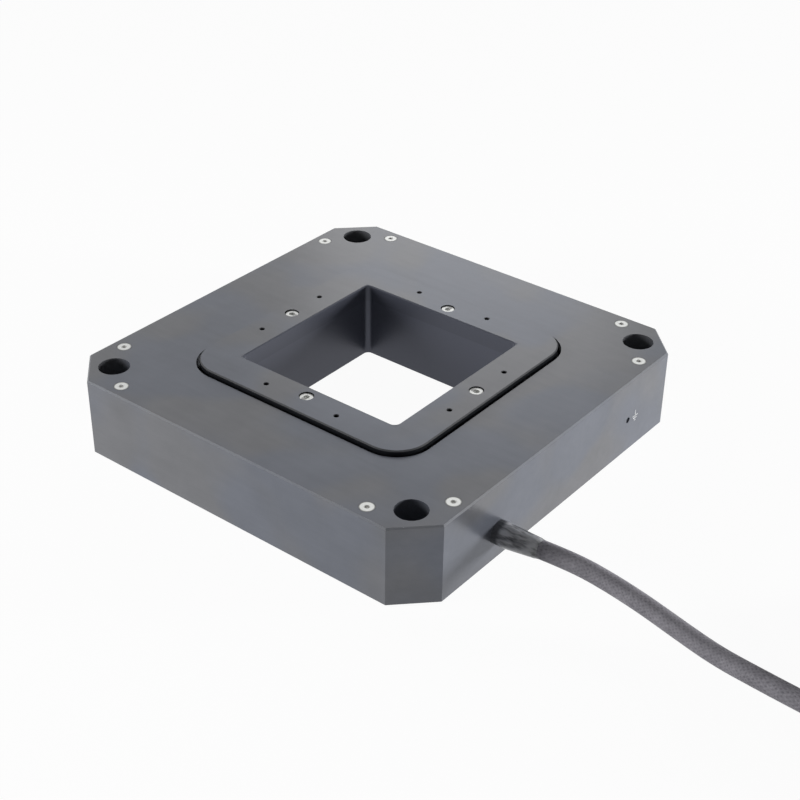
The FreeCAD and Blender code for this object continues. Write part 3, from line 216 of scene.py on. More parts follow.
class ShaderTree:
    """The nodes of one material or world."""

    def __init__(self, tree: bpy.types.NodeTree) -> None:
        """Empties the tree.

        Args:
            tree: the material's or the world's node tree.
        """
        self.tree = tree
        self.tree.nodes.clear()
        self._place: Optional[Signal] = None

    def add(
        self,
        kind: str,
        settings: Optional[Dict[str, object]] = None,
        inputs: Optional[Dict[Union[str, int], Value]] = None,
        output: Union[str, int] = 0,
    ) -> Optional[Signal]:
        """Adds one node.

        Args:
            kind: the node's type.
            settings: its properties, set first.
            inputs: the values or links of its sockets, by name or number.
            output: which output to return.

        Returns:
            The chosen output, or None where the node has no outputs.
        """
        node = self.tree.nodes.new(kind)
        for name, setting in (settings or {}).items():
            setattr(node, name, setting)
        for name, value in (inputs or {}).items():
            if isinstance(value, Signal):
                self.tree.links.new(value.socket, node.inputs[name])
            else:
                node.inputs[name].default_value = value
        return Signal(self, node.outputs[output]) if node.outputs else None

    @property
    def place(self) -> Signal:
        """The point on the piece.

        Returns:
            The point, in metres.
        """
        if self._place is None:
            self._place = self.add("ShaderNodeTexCoord", output="Object")
        return self._place

    def axes(self, vector: Value) -> Tuple[Signal, Signal, Signal]:
        """The X, Y and Z parts of a vector."""
        split = self.add("ShaderNodeSeparateXYZ", inputs={0: vector})
        return split, split.out("Y"), split.out("Z")

    def levelness(self) -> Signal:
        """How level the face is: 0 on an upright wall, and 1 on a level face."""
        normal = self.add("ShaderNodeNewGeometry", output="True Normal")
        return abs(self.axes(normal)[2])

    def stretched(self, along: Sequence[float]) -> Signal:
        """The point on the piece with each axis scaled, for grain that runs one way."""
        settings = {"operation": "MULTIPLY"}
        return self.add("ShaderNodeVectorMath", settings, {0: self.place, 1: along})

    def noise(self, kind: Noise, at: Optional[Signal] = None) -> Signal:
        """Soft noise from 0 to 1.

        Args:
            kind: its size and layers.
            at: the point to read it at. The point on the piece if left out.

        Returns:
            The noise.
        """
        inputs = {
            "Vector": at or self.place,
            "Scale": 1 / kind.size,
            "Detail": kind.detail,
            "Roughness": kind.roughness,
        }
        return self.add("ShaderNodeTexNoise", {"noise_dimensions": "3D"}, inputs)

    def bump(self, height: Signal, depth: float) -> Signal:
        """A normal bent by a height.

        Args:
            height: the height, from 0 to 1.
            depth: what a height of 1 stands for, in metres.

        Returns:
            The bent normal.
        """
        return self.add("ShaderNodeBump", inputs={"Distance": depth, "Height": height})

    def surface(self, **sockets: Value) -> None:
        """Ends the tree in a Principled shader.

        Args:
            sockets: the shader's sockets, with _ for each space in their names.
        """
        inputs = {name.replace("_", " "): value for name, value in sockets.items()}
        shader = self.add("ShaderNodeBsdfPrincipled", inputs=inputs)
        self.add("ShaderNodeOutputMaterial", inputs={"Surface": shader})


@dataclass(frozen=True)
class Finish:
    """A finish that pieces are given. Each kind of finish paints its own nodes.

    In every finish, a share says how much a pattern counts in the colour, a rough value how
    much it adds to the roughness, and a height how much it counts in the relief.
    """

    name: str

    def material(self) -> bpy.types.Material:
        """The finish's material, made the first time that it is asked for.

        Returns:
            The material.
        """
        label = "finish_" + self.name
        made = bpy.data.materials.get(label)
        if made is None:
            made = bpy.data.materials.new(label)
            made.use_nodes = True
            self.paint(ShaderTree(made.node_tree))
        return made

    def paint(self, tree: ShaderTree) -> None:
        """Makes the nodes.

        Args:
            tree: the material's tree, still empty.
        """
        raise NotImplementedError

    def dress(self, *pieces: bpy.types.Object) -> None:
        """Puts the finish on pieces, in place of the materials that they have.

        Args:
            pieces: CAD nodes or pieces made here.
        """
        for piece in pieces:
            slots = piece.data.materials
            for number in range(len(slots)):
                slots[number] = self.material()
            if not slots:
                slots.append(self.material())


@dataclass(frozen=True)
class Anodised(Finish):
    """Satin anodised aluminium: a fine blasted grain under soft clouds, warmer and cooler.

    The broken edges are paler and duller. A rim shade under 1 darkens a plate's sides with
    painted shade, for the shadowed gap round the plate, and an opening, given as half its
    width, has duller walls, darkened and made bluer with painted shade.
    """

    colour: Colour = shade(117, 118, 122)
    cool: Colour = shade(111, 115, 125)
    edge: Colour = shade(128, 130, 135)
    # The walls of an opening: a bluer colour, for painted shade.
    walls: Colour = shade(111, 115, 131)
    metal: float = 0.35
    shine: float = 0.5
    roughness: float = 0.18
    relief: float = 0.004 * MM

    # The patterns of the plain faces.
    contrast: float = 0.22
    cloud: Noise = Noise(16 * MM, 3.0, 0.55)
    cloud_share: float = 0.75
    cloud_rough: float = 0.08
    grain: Noise = Noise(0.24 * MM, 2.0, 0.6)
    grain_share: float = 0.3
    grain_rough: float = 0.05
    brushing: Noise = Noise(2.4 * MM, 3.0)
    brushing_lay: Point = (0.1, 1.0, 1.0)
    brushing_share: float = 0.35
    tone_drop: float = 0.2
    patch: Noise = Noise(34 * MM, 1.0)
    patch_border: Pair = (0.42, 0.58)

    # The broken edges, and how level a face is where they fade in and out.
    off_upright: Pair = (0.35, 0.55)
    off_level: Pair = (0.93, 0.85)
    edge_share: float = 0.1
    edge_wear: float = 0.4
    edge_rough: float = 0.3
    edge_metal: float = 0.07

    # A plate's sides and the walls of its opening, both darkened with painted shade.
    rim_painted_shade: float = 1.0
    rim_border: Pair = (0.9, 0.8)
    opening: float = 0.0
    opening_border: Pair = (0.5 * MM, 0.2 * MM)
    wall_painted_shade: float = 0.5
    wall_rough: float = 0.16

    def paint(self, tree: ShaderTree) -> None:
        """Makes the nodes.

        Args:
            tree: the material's tree, still empty.
        """
        clouds = tree.noise(self.cloud)
        grain = tree.noise(self.grain)
        level = tree.levelness()
        broken = level.ramp(*self.off_upright) * level.ramp(*self.off_level)
        wear = broken * (clouds * self.edge_wear + self.edge_share)
        tone = wear.blend(self._body(tree, clouds, grain), self.edge)
        dull = broken * self.edge_rough
        # Painted shade: the plate's upright sides darkened, for the shadowed gap round the
        # plate.
        if self.rim_painted_shade < 1.0:
            rim = level.ramp(*self.rim_border)
            tone = rim.blend(tone, scaled(self.cool, self.rim_painted_shade))
        # Painted shade: the walls of the opening darkened and bluer, for the shade inside it.
        if self.opening:
            inside = self._inside(tree)
            tone = inside.blend(tone, scaled(self.walls, self.wall_painted_shade))
            dull = dull + inside * self.wall_rough
        mottle = clouds * self.cloud_rough + self.roughness + grain * self.grain_rough
        tree.surface(
            Base_Color=tone,
            Metallic=self.metal - broken * (self.metal - self.edge_metal),
            Specular_IOR_Level=self.shine,
            Roughness=mottle + dull,
            Normal=tree.bump(grain, self.relief),
        )

    def _body(self, tree: ShaderTree, clouds: Signal, grain: Signal) -> Signal:
        """The colour of the plain faces, in wide warmer and cooler patches.

        Args:
            tree: the material's nodes.
            clouds: the soft clouds.
            grain: the blasted grain.

        Returns:
            The colour.
        """
        brushed = tree.noise(self.brushing, tree.stretched(self.brushing_lay))
        tone = clouds * self.cloud_share + grain * self.grain_share
        tone = tone + brushed * self.brushing_share - self.tone_drop
        dark, pale = 1 - self.contrast, 1 + self.contrast
        warm = tone.blend(scaled(self.colour, dark), scaled(self.colour, pale))
        cool = tone.blend(scaled(self.cool, dark), scaled(self.cool, pale))
        return tree.noise(self.patch).ramp(*self.patch_border).blend(warm, cool)

    def _inside(self, tree: ShaderTree) -> Signal:
        """Tells the walls of the square opening from all that lies outside it.

        Args:
            tree: the material's nodes.

        Returns:
            1 on the walls, and 0 outside them.
        """
        x, y, _ = tree.axes(tree.place)
        reach = abs(x).math("MAXIMUM", abs(y))
        start, end = self.opening_border
        return reach.ramp(self.opening + start, self.opening + end)


@dataclass(frozen=True)
class Machined(Finish):
    """Bare metal with the fine lines that a cutter leaves along one axis."""

    colour: Colour = shade(206, 208, 211)
    roughness: float = 0.3
    lay: Point = (1.0, 12.0, 12.0)
    line: Noise = Noise(1.6 * MM, 3.0, 0.6)
    line_share: float = 0.5
    cloud: Noise = Noise(9 * MM)
    cloud_share: float = 0.3
    darkest: float = 0.8
    relief: float = 0.006 * MM

    def paint(self, tree: ShaderTree) -> None:
        """Makes the nodes.

        Args:
            tree: the material's tree, still empty.
        """
        lines = tree.noise(self.line, tree.stretched(self.lay))
        tone = lines * self.line_share + tree.noise(self.cloud) * self.cloud_share
        tree.surface(
            Base_Color=tone.blend(self.colour, scaled(self.colour, self.darkest)),
            Metallic=1.0,
            Roughness=lines.about(self.roughness),
            Normal=tree.bump(lines, self.relief),
        )


@dataclass(frozen=True)
class TurnedSteel(Finish):
    """Bright screws, with the rings of the lathe on their heads, a painted shade round each
    head's rim, and painted light that makes the socket pale where it would lie in shade.

    The places fold a pattern of mirrored screws on to one of them, where the rings are
    centred. Where it is swapped, it repeats with X and Y changed over.
    """

    colour: Colour = shade(222, 223, 221)
    # The socket's colour: pale, as painted light in the hex hole's shade.
    socket_painted_light: Colour = shade(244, 244, 242)
    centre: Pair = (52 * MM, 70 * MM)
    swapped: bool = True
    ring: float = 0.3 * MM
    ring_share: float = 0.15
    ring_rough: float = 0.04
    ring_height: float = 0.6
    speck: Noise = Noise(0.5 * MM, 3.0, 0.6)
    speck_share: float = 0.6
    speck_rough: float = 0.12
    speck_height: float = 0.4
    darkest: float = 0.72
    # The painted shade round each head: where it starts, how far it fades in, and how dark it
    # is.
    rim: float = 2.3 * MM
    rim_fade: float = 0.3 * MM
    rim_painted_shade: float = 0.35
    # The socket, painted pale and less metallic as painted light where it lies in shade.
    socket: float = 0.9 * MM
    socket_fade: float = 0.1 * MM
    metal: float = 0.85
    socket_metal: float = 0.1
    roughness: float = 0.3
    relief: float = 0.004 * MM

    def paint(self, tree: ShaderTree) -> None:
        """Makes the nodes.

        Args:
            tree: the material's tree, still empty.
        """
        reach = self._reach(tree)
        rings = (reach * (TURN / self.ring)).wave()
        specks = tree.noise(self.speck)
        wear_and_sheen = specks * self.speck_share + rings * self.ring_share
        tone = wear_and_sheen.blend(self.colour, scaled(self.colour, self.darkest))
        # Painted shade round the head's rim.
        rim = reach.ramp(self.rim - self.rim_fade, self.rim)
        tone = rim.blend(tone, scaled(self.colour, self.rim_painted_shade))
        # Painted light: the socket pale and less metallic, where it would lie in shade.
        inside = reach.ramp(self.socket + self.socket_fade, self.socket)
        height = rings * self.ring_height + specks * self.speck_height
        tree.surface(
            Base_Color=inside.blend(tone, self.socket_painted_light),
            Metallic=self.metal - inside * (self.metal - self.socket_metal),
            Roughness=specks * self.speck_rough + self.roughness + rings * self.ring_rough,
            Normal=tree.bump(height, self.relief),
        )

    def _reach(self, tree: ShaderTree) -> Signal:
        """How far the point is from its screw's axis.

        Args:
            tree: the material's nodes.

        Returns:
            The distance, in metres.
        """
        x, y, _ = tree.axes(tree.place)
        across, along = abs(x), abs(y)
        if self.swapped:
            across, along = across.math("MINIMUM", along), across.math("MAXIMUM", along)
        aside = (across - self.centre[0]).squared()
        return (aside + (along - self.centre[1]).squared()).math("SQRT")


@dataclass(frozen=True)
class Moulded(Finish):
    """Moulded plastic, rubber or ceramic: one colour with a fine skin."""

    colour: Colour = shade(60, 60, 62)
    roughness: float = 0.45
    grain: float = 0.5 * MM
    relief: float = 0.02 * MM
    coat: float = 0.0
    coat_roughness: float = 0.12
    grain_detail: float = 3.0
    grain_strength: float = 0.55
    grain_share: float = 0.3
    cloud: Noise = Noise(6 * MM)
    cloud_share: float = 0.6
    palest: float = 1.3

    def paint(self, tree: ShaderTree) -> None:
        """Makes the nodes.

        Args:
            tree: the material's tree, still empty.
        """
        grain = tree.noise(Noise(self.grain, self.grain_detail, self.grain_strength))
        tone = tree.noise(self.cloud) * self.cloud_share + grain * self.grain_share
        tree.surface(
            Base_Color=tone.blend(self.colour, scaled(self.colour, self.palest)),
            Roughness=grain.about(self.roughness),
            Normal=tree.bump(grain, self.relief),
            Coat_Weight=self.coat,
            Coat_Roughness=self.coat_roughness,
        )


@dataclass(frozen=True)
class Shrunk(Finish):
    """Black heat-shrunk sleeving: glossy, with long creases and pale painted-highlight streaks
    along them, which stop short of the wall and leave a darker rim there.
    """

    colour: Colour = shade(70, 71, 75)
    # The pale colour here is a painted highlight: streaks along the creases for lamp
    # reflections on the glossy sleeve.
    wear_and_sheen: Colour = shade(206, 207, 211)
    crease: Noise = Noise(1.9 * MM)
    crease_lay: Point = (0.25, 1.0, 1.0)
    crease_border: Pair = (0.32, 0.56)
    crease_height: float = 0.9
    skin: Noise = Noise(0.25 * MM)
    skin_rough: float = 0.14
    skin_height: float = 0.03
    # Where the painted highlight fades in, away from the wall.
    rim_border: Pair = (76.5 * MM, 78.5 * MM)
    roughness: float = 0.24
    relief: float = 1.1 * MM

    def paint(self, tree: ShaderTree) -> None:
        """Makes the nodes.

        Args:
            tree: the material's tree, still empty.
        """
        creases = tree.noise(self.crease, tree.stretched(self.crease_lay))
        skin = tree.noise(self.skin)
        out = tree.axes(tree.place)[0].ramp(*self.rim_border)
        # Painted highlight: pale streaks along the creases, kept off the rim at the wall.
        pale = creases.ramp(*self.crease_border) * out
        height = creases * self.crease_height + skin * self.skin_height
        tree.surface(
            Base_Color=pale.blend(self.colour, self.wear_and_sheen),
            Roughness=skin * self.skin_rough + self.roughness,
            Normal=tree.bump(height, self.relief),
        )


@dataclass(frozen=True)
class Braid(Finish):
    """A cable's woven sleeve: two sets of strands that cross over and under.

    It reads the curve's own map, which runs once along the cable and once round it.
    """

    length: float
    colour: Colour = shade(190, 187, 195)
    dark: Colour = shade(98, 96, 104)
    pitch: float = 1.7 * MM
    strands: int = 14
    drift: Noise = Noise(5 * MM)
    drift_along: float = 0.9
    drift_round: float = 0.5
    weave_share: float = 0.32
    weave_height: float = 0.7
    check_share: float = 0.1
    fray: Noise = Noise(0.9 * MM, 4.0, 0.65)
    fray_share: float = 1.1
    fray_rough: float = 0.15
    fray_height: float = 0.3
    stain: Noise = Noise(6 * MM)
    stain_share: float = 0.6
    tone_drop: float = 0.63
    roughness: float = 0.55
    relief: float = 0.1 * MM

    def paint(self, tree: ShaderTree) -> None:
        """Makes the nodes.

        Args:
            tree: the material's tree, still empty.
        """
        one, other = self._strands(tree)
        weave = one.math("MAXIMUM", other)
        checks = (one - other) * 0.5 + 0.5
        fray = tree.noise(self.fray)
        tone = weave * self.weave_share + checks * self.check_share + fray * self.fray_share
        tone = tone + tree.noise(self.stain) * self.stain_share - self.tone_drop
        height = weave * self.weave_height + fray * self.fray_height
        tree.surface(
            Base_Color=tone.clamped().blend(self.dark, self.colour),
            Roughness=fray * self.fray_rough + self.roughness,
            Normal=tree.bump(height, self.relief),
        )

    def _strands(self, tree: ShaderTree) -> Tuple[Signal, Signal]:
        """How high the strands of the two slants are, from 0 between them to 1.

        Args:
            tree: the material's nodes.

        Returns:
            The height of either set.
        """
        along, around, _ = tree.axes(tree.add("ShaderNodeTexCoord", output="UV"))
        drift = tree.noise(self.drift) - 0.5
        turns = along * (self.length / self.pitch) + drift * self.drift_along
        strand = around * self.strands + drift * self.drift_round
        one = (turns + strand).math("FRACT")
        other = (turns * -1.0 + strand).math("FRACT")
        return (one * math.pi).math("SINE"), (other * math.pi).math("SINE")


@dataclass(frozen=True)
class Printed(Finish):
    """White ink on the anodised metal."""

    colour: Colour = shade(225, 226, 226)
    thin: Colour = shade(190, 191, 193)
    speck: Noise = Noise(0.15 * MM, 2.0, 0.7)
    speck_rough: float = 0.2
    roughness: float = 0.5

    def paint(self, tree: ShaderTree) -> None:
        """Makes the nodes.

        Args:
            tree: the material's tree, still empty.
        """
        specks = tree.noise(self.speck)
        tree.surface(
            Base_Color=specks.blend(self.colour, self.thin),
            Roughness=specks * self.speck_rough + self.roughness,
        )


@dataclass(frozen=True)
class CircuitBoard(Finish):
    """Solder resist over copper tracks, with bright pads in rows."""

    green: Colour = shade(26, 84, 52)
    track: Colour = shade(52, 118, 72)
    pad: Colour = shade(214, 200, 150)
    pitch: float = 1.2 * MM
    pad_border: Pair = (0.1, 0.06)
    pad_metal: float = 0.8
    track_border: Pair = (0.16, 0.1)
    track_height: float = 0.6
    gap: Noise = Noise(3 * MM, 1.0)
    gap_border: Pair = (0.45, 0.5)
    skin: Noise = Noise(0.6 * MM)
    skin_rough: float = 0.1
    roughness: float = 0.38
    relief: float = 0.05 * MM

    def paint(self, tree: ShaderTree) -> None:
        """Makes the nodes.

        Args:
            tree: the material's tree, still empty.
        """
        x, y, _ = tree.axes(tree.place)
        step_x = (x / self.pitch).math("FRACT") - 0.5
        step_y = (y / self.pitch).math("FRACT") - 0.5
        pads = (step_x.squared() + step_y.squared()).ramp(*self.pad_border)
        broken = tree.noise(self.gap).ramp(*self.gap_border)
        tracks = abs(step_x).ramp(*self.track_border) * broken
        tree.surface(
            Base_Color=pads.blend(tracks.blend(self.green, self.track), self.pad),
            Metallic=pads * self.pad_metal,
            Roughness=tree.noise(self.skin) * self.skin_rough + self.roughness,
            Normal=tree.bump(tracks * self.track_height + pads, self.relief),
        )


class Lit(Enum):
    """Which rays see a plain white in place of a lit surface."""

    CAMERA = "Is Camera Ray"
    GLOSSY = "Is Glossy Ray"
    CLEAR = "Is Transmission Ray"

    @classmethod
    def share(cls, tree: ShaderTree) -> Signal:
        """1 for the rays named here, and 0 for the rays that light the part.

        Args:
            tree: the tree that asks.

        Returns:
            The share.
        """
        rays = tree.add("ShaderNodeLightPath")
        camera, glossy, clear = (rays.out(kind.value) for kind in cls)
        return camera.math("MAXIMUM", glossy).math("MAXIMUM", clear)


@dataclass
class PhotographCamera:
    """The camera that the photograph was taken with, from the fit to its corners."""

    azimuth: float = 38.1779
    elevation: float = 32.4257
    roll: float = 0.7902
    lens: float = 69.98
    sensor: float = 36.0
    place: Point = (0.2852, -0.3517, 0.2977)
    nearest: float = 0.01
    farthest: float = 20.0

    def build(self) -> bpy.types.Object:
        """Makes the camera and gives it to the scene.

        Returns:
            The camera.
        """
        turn, lift = math.radians(self.azimuth), math.radians(self.elevation)
        level = math.cos(lift)
        back = Vector((math.sin(turn) * level, -math.cos(turn) * level, math.sin(lift)))
        right = Vector((math.cos(turn), math.sin(turn), 0.0))
        stand = Matrix((right, back.cross(right), back)).transposed().to_4x4()
        lean = Matrix.Rotation(math.radians(self.roll), 4, "Z")
        data = bpy.data.cameras.new("photograph_camera")
        data.lens = self.lens
        data.sensor_width = self.sensor
        data.clip_start = self.nearest
        data.clip_end = self.farthest
        made = bpy.data.objects.new("photograph_camera", data)
        made.matrix_world = Matrix.Translation(self.place) @ stand @ lean
        bpy.context.scene.collection.objects.link(made)
        bpy.context.scene.camera = made
        return made


@dataclass(frozen=True)
class Lamp:
    """A soft square lamp: where it hangs, its width, and its power in watts."""

    name: str
    place: Point
    width: float
    power: float

    def hang(self, aim: Point) -> None:
        """Hangs the lamp in the scene.

        Args:
            aim: the point that it shines at.
        """
        data = bpy.data.lights.new(self.name, "AREA")
        data.shape = "SQUARE"
        data.size = self.width
        data.energy = self.power
        made = bpy.data.objects.new(self.name, data)
        made.location = self.place
        beam = Vector(aim) - Vector(self.place)
        made.rotation_euler = beam.to_track_quat("-Z", "Y").to_euler()
        bpy.context.scene.collection.objects.link(made)


@dataclass
class SoftStudio:
    """A pale floor, soft lamps and a white room that only lights the part gently."""

    room: float = 0.11
    floor_half: float = 4.0
    paper: Colour = shade(214, 214, 215)
    paper_dark: Colour = shade(208, 208, 209)
    paper_grain: Noise = Noise(2 * MM, 3.0)
    paper_share: float = 0.12
    glow: float = 1.08
    aim: Point = (0.0, 0.0, 0.02)
    lamps: Tuple[Lamp, ...] = (
        Lamp("lamp_right", place=(0.60, 0.42, 0.08), width=0.15, power=4.8),
        Lamp("lamp_back", place=(-0.50, 0.75, 0.42), width=0.3, power=0.28),
        Lamp("lamp_left", place=(-0.44, -0.54, 0.14), width=0.3, power=3.5),
    )

    def build(self) -> None:
        """Makes the world, the floor and the lamps."""
        self._light_room()
        self._lay_floor()
        for lamp in self.lamps:
            lamp.hang(self.aim)

    def _light_room(self) -> None:
        """White to the eye and in reflections, and softer as a light."""
        world = bpy.data.worlds.new("soft_room")
        world.use_nodes = True
        bpy.context.scene.world = world
        tree = ShaderTree(world.node_tree)
        strength = Lit.share(tree) * (1.0 - self.room) + self.room
        inputs = {"Color": WHITE, "Strength": strength}
        light = tree.add("ShaderNodeBackground", inputs=inputs)
        tree.add("ShaderNodeOutputWorld", inputs={"Surface": light})

    def _lay_floor(self) -> None:
        """A wide level floor, white where nothing shades it."""
        far = self.floor_half
        corners = [(-far, -far, 0.0), (far, -far, 0.0), (far, far, 0.0), (-far, far, 0.0)]
        mesh = bpy.data.meshes.new("studio_floor")
        mesh.from_pydata(corners, [], [(0, 1, 2, 3)])
        mesh.materials.append(self._make_paper())
        made = bpy.data.objects.new("studio_floor", mesh)
        bpy.context.scene.collection.objects.link(made)

    def _make_paper(self) -> bpy.types.Material:
        """The floor's paper: matt under the part's shadow, and white to the eye elsewhere.

        Returns:
            The material.
        """
        paper = bpy.data.materials.new("studio_paper")
        paper.use_nodes = True
        tree = ShaderTree(paper.node_tree)
        pale = tree.noise(self.paper_grain).blend(self.paper_dark, self.paper)
        matt = tree.add("ShaderNodeBsdfDiffuse", inputs={"Color": pale})
        inputs = {"Color": WHITE, "Strength": self.glow}
        glow = tree.add("ShaderNodeEmission", inputs=inputs)
        share = Lit.share(tree) * (1.0 - self.paper_share)
        both = tree.add("ShaderNodeMixShader", inputs={0: share, 1: matt, 2: glow})
        tree.add("ShaderNodeOutputMaterial", inputs={"Surface": both})
        return paper


@dataclass
class SignalCable:
    """The cable: a loose run over the floor, a two-layer coil, and a tail to the connector."""

    radius: float = 3 * MM
    length: float = 1.43
    run: Tuple[Point, ...] = (
        (0.09097, -0.0352, 0.0111),
        (0.10293, -0.0352, 0.0120),
        (0.115, -0.0352, 0.0109),
        (0.127, -0.0352, 0.0088),
        (0.139, -0.0352, 0.0058),
        (0.151, -0.0354, 0.0033),
        (0.163, -0.0360, 0.0030),
        (0.182, -0.0370, 0.0030),
        (0.199, -0.0368, 0.0030),
    )
    tail: Tuple[Point, ...] = (
        (0.2564, 0.019, 0.0086),
        (0.2560, 0.033, 0.0078),
        (0.2560, 0.046, 0.0078),
    )
    coil_centre: Pair = (0.214, 0.006)
    coil_start: float = -math.pi / 2
    inner: float = 24 * MM
    outer: float = 42 * MM
    layer_turns: Pair = (3.0, 3.25)
    climb_turns: float = 0.25
    points_per_turn: int = 14
    curve_order: int = 3
    steps_per_point: int = 6
    facets: int = 5

    def build(self) -> bpy.types.Object:
        """Makes the cable as one smooth line.

        Returns:
            The cable.
        """
        made = bpy.data.objects.new("signal_cable", self._line())
        bpy.context.scene.collection.objects.link(made)
        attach(made, "root")
        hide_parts("cable", "cable_coil", "cable_tail")
        Braid("braided_sleeve", length=self.length).dress(made)
        2 * self.radius
        return made

    def _line(self) -> bpy.types.Curve:
        """The cable's round curve, through its run, its coil and its tail.

        Returns:
            The curve.
        """
        places = [*self.run, *self._coil(), *self.tail]
        line = bpy.data.curves.new("signal_cable", "CURVE")
        line.dimensions = "3D"
        spline = line.splines.new("NURBS")
        spline.points.add(len(places) - 1)
        for point, place in zip(spline.points, places):
            point.co = (*place, 1.0)
            point.radius = self.radius
        spline.order_u = self.curve_order
        spline.use_endpoint_u = True
        spline.resolution_u = self.steps_per_point
        line.bevel_depth = 1.0
        line.bevel_resolution = self.facets
        line.use_fill_caps = True
        return line

    def _coil(self) -> List[Point]:
        """The coil: inwards on the floor, up at the inside, and outwards on top.

        Returns:
            Points round its turns.
        """
        low, high = self.radius, 3 * self.radius
        in_turns, out_turns = self.layer_turns
        span = self.outer - self.inner
        step = 1 / self.points_per_turn
        count = round((in_turns + out_turns) * self.points_per_turn)
        points = []
        for number in range(count + 1):
            turned = number * step
            if turned <= in_turns:
                reach = self.outer - span * turned / in_turns
                level = low
            else:
                past = turned - in_turns
                reach = self.inner + span * past / out_turns
                level = min(high, low + (high - low) * past / self.climb_turns)
            angle = TURN * turned + self.coil_start
            x = self.coil_centre[0] + reach * math.cos(angle)
            y = self.coil_centre[1] + reach * math.sin(angle)
            points.append((x, y, level))
        return points


@dataclass
class EarthMark:
    """The printed mark beside the earth point: an upright stroke over three level ones."""

    face: float = 75 * MM
    middle: Pair = (44.2 * MM, 12.6 * MM)
    stroke: float = 0.4 * MM
    stem: float = 2.2 * MM
    widths: Tuple[float, ...] = (3.2 * MM, 2.1 * MM, 1.0 * MM)
    step: float = 0.85 * MM
    film: float = 0.015 * MM

    def build(self) -> bpy.types.Object:
        """Makes the mark as one thin film on the side face.

        Returns:
            The mark.
        """
        mesh = bpy.data.meshes.new("earth_mark")
        shape = bmesh.new()
        for y0, y1, z0, z1 in self._bars():
            size = (self.film, y1 - y0, z1 - z0, 1.0)
            centre = (self.face + self.film / 2, (y0 + y1) / 2, (z0 + z1) / 2)
            place = Matrix.Translation(centre) @ Matrix.Diagonal(size)
            bmesh.ops.create_cube(shape, size=1.0, matrix=place)
        shape.to_mesh(mesh)
        shape.free()
        made = bpy.data.objects.new("earth_mark", mesh)
        bpy.context.scene.collection.objects.link(made)
        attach(made, "root")
        Printed("white_ink").dress(made)
        return made

    def _bars(self) -> List[Tuple[float, float, float, float]]:
        """The strokes, the upright one first.

        Returns:
            The least and greatest y, then the least and greatest z, of each.
        """
        y, z = self.middle
        half = self.stroke / 2
        bars = [(y - half, y + half, z, z + self.stem)]
        for number, width in enumerate(self.widths):
            level = z - number * self.step
            bars.append((y - width / 2, y + width / 2, level - half, level + half))
        return bars


Groups = Tuple[Tuple[Finish, List[str]], ...]


def each_axis(ending: str) -> List[str]:
    """The nodes of the X, Y and Z drives or sensors that end in these words."""
    return [axis + ending for axis in ("x", "y", "z")]


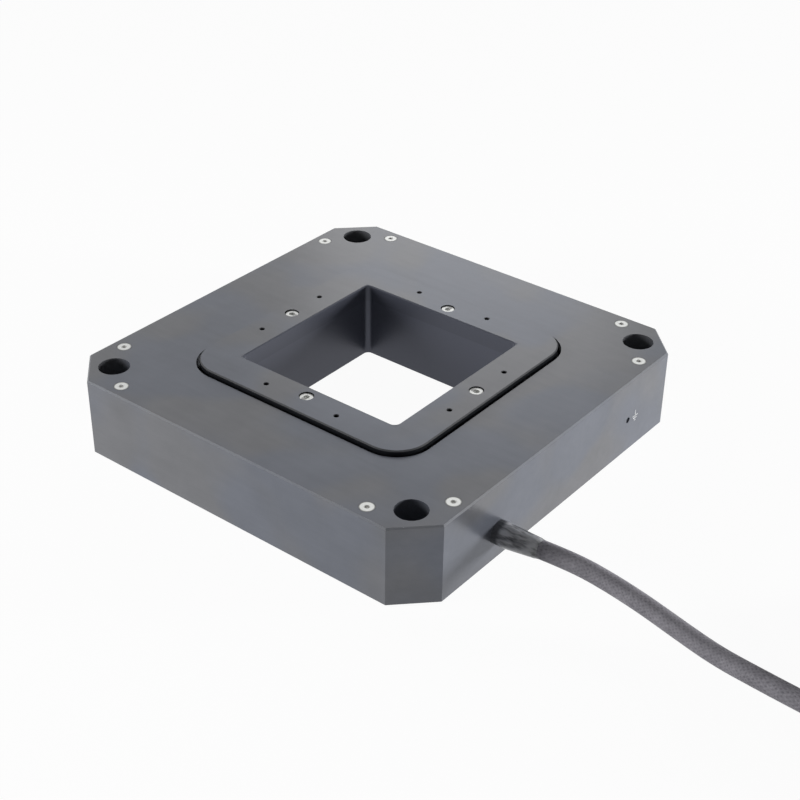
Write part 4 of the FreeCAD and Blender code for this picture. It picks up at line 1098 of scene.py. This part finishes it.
@dataclass
class Dressing:
    """Which finish each CAD node gets."""

    opening: float = 33 * MM
    # Painted shade on the opening's walls, as a share of their colour.
    plate_wall_painted_shade: float = 0.47
    # The painted shade on the plate's sides, as a share of the colour.
    plate_rim_painted_shade: float = 0.1
    sleeve_wall_painted_shade: float = 0.55
    base_screw: Pair = (30 * MM, 68.5 * MM)
    plate_screw: Pair = (0.0, 38.95 * MM)
    plate_screw_rim: float = 3.2 * MM

    def plan(self) -> Dict[str, Finish]:
        """Names a finish for every node that the cable doesn't replace.

        Returns:
            The finish of each node, by the node's name.
        """
        groups = (*self._casing(), *self._works(), *self._wiring())
        return {name: finish for finish, names in groups for name in names}

    def _casing(self) -> Groups:
        """The body, the platform and the screws that hold them.

        Returns:
            Each finish with its nodes.
        """
        # The plate and the sleeve get painted shade on their opening's walls, the plate on its
        # sides too.
        plate = Anodised(
            "dark_anodised_platform",
            opening=self.opening,
            wall_painted_shade=self.plate_wall_painted_shade,
            rim_painted_shade=self.plate_rim_painted_shade,
        )
        sleeve = Anodised(
            "dark_anodised_sleeve",
            opening=self.opening,
            wall_painted_shade=self.sleeve_wall_painted_shade,
        )
        plate_screws = TurnedSteel(
            "plate_screws",
            centre=self.plate_screw,
            rim=self.plate_screw_rim,
        )
        return (
            (Anodised("dark_anodised"), ["body_frame", "bottom_cover", "top_cover"]),
            (plate, ["platform_plate"]),
            (sleeve, ["platform_sleeve"]),
            (TurnedSteel("cover_screws"), ["top_cover_screws"]),
            (TurnedSteel("base_screws", centre=self.base_screw), ["bottom_cover_screws"]),
            (plate_screws, ["platform_screws"]),
        )

    @staticmethod
    def _works() -> Groups:
        """The frames, springs, drives and sensors inside.

        Returns:
            Each finish with its nodes.
        """
        bare = Machined("bare_aluminium")
        spring = Machined(
            "spring_steel",
            colour=shade(170, 172, 175),
            roughness=0.26,
            lay=(12.0, 12.0, 1.0),
        )
        steel = Machined(
            "clamp_steel",
            colour=shade(196, 196, 194),
            roughness=0.28,
            lay=(6.0, 6.0, 1.0),
        )
        piezo = Moulded(
            "piezo_ceramic",
            colour=shade(196, 160, 92),
            roughness=0.4,
            grain=0.3 * MM,
            relief=0.01 * MM,
            coat=0.3,
        )
        caps = Moulded(
            "cap_ceramic",
            colour=shade(232, 230, 222),
            roughness=0.3,
            grain=0.3 * MM,
            relief=0.005 * MM,
            coat=0.2,
        )
        sensors = [*each_axis("_sensor_probe"), *each_axis("_sensor_target")]
        links = ["x_hinge_links", "y_hinge_links", "z_guide_leaves"]
        clamps = [side + "_leaf_clamps" for side in ("frame", "sleeve")]
        clamp_screws = [side + "_clamp_screws" for side in ("frame", "sleeve", "cable")]
        plug_screws = ["connector_hood_screws", "connector_jackscrews"]
        return (
            (bare, ["x_frame", "y_frame", "cable_clamp", *sensors]),
            (spring, [*links, *each_axis("_drive_frame")]),
            (steel, [*clamps, *clamp_screws, *plug_screws, *each_axis("_preload_screw")]),
            (piezo, each_axis("_piezo_stack")),
            (caps, each_axis("_stack_end_caps")),
        )

    @staticmethod
    def _wiring() -> Groups:
        """The leads, the board, the boot and the connector.

        Returns:
            Each finish with its nodes.
        """
        lead = Moulded(
            "lead_red",
            colour=shade(168, 30, 28),
            roughness=0.35,
            grain=0.4 * MM,
            relief=0.01 * MM,
            coat=0.2,
        )
        hood = Moulded(
            "hood_grey",
            colour=shade(74, 76, 80),
            roughness=0.5,
            grain=0.6 * MM,
            relief=0.03 * MM,
        )
        shell = Machined(
            "plated_shell",
            colour=shade(214, 212, 204),
            roughness=0.22,
            lay=(10.0, 1.0, 1.0),
        )
        block = Moulded(
            "contact_block",
            colour=shade(24, 24, 26),
            roughness=0.45,
            grain=0.4 * MM,
            relief=0.01 * MM,
        )
        return (
            (lead, ["x_drive_leads", "cable_leads"]),
            (CircuitBoard("terminal_board"), ["terminal_board"]),
            (Shrunk("shrunk_sleeve"), ["cable_boot"]),
            (hood, ["connector_hood"]),
            (shell, ["connector_shell"]),
            (block, ["connector_insert", "coil_tie"]),
        )

    def build(self) -> None:
        """Dresses every node in the plan."""
        for name, finish in self.plan().items():
            finish.dress(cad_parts[name])
            log.info("%s: %s", name, finish.name)


def main() -> None:
    """Builds the scene, the camera and the cable first."""
    logging.basicConfig(level=logging.INFO, format="%(name)s: %(message)s")
    bpy.context.scene.view_settings.view_transform = "Standard"
    PhotographCamera().build()
    cable = SignalCable().build()
    log.info("cable: %s", cable.name)
    Dressing().build()
    mark = EarthMark().build()
    log.info("mark: %s", mark.name)
    SoftStudio().build()


if __name__ == "__main__":
    main()
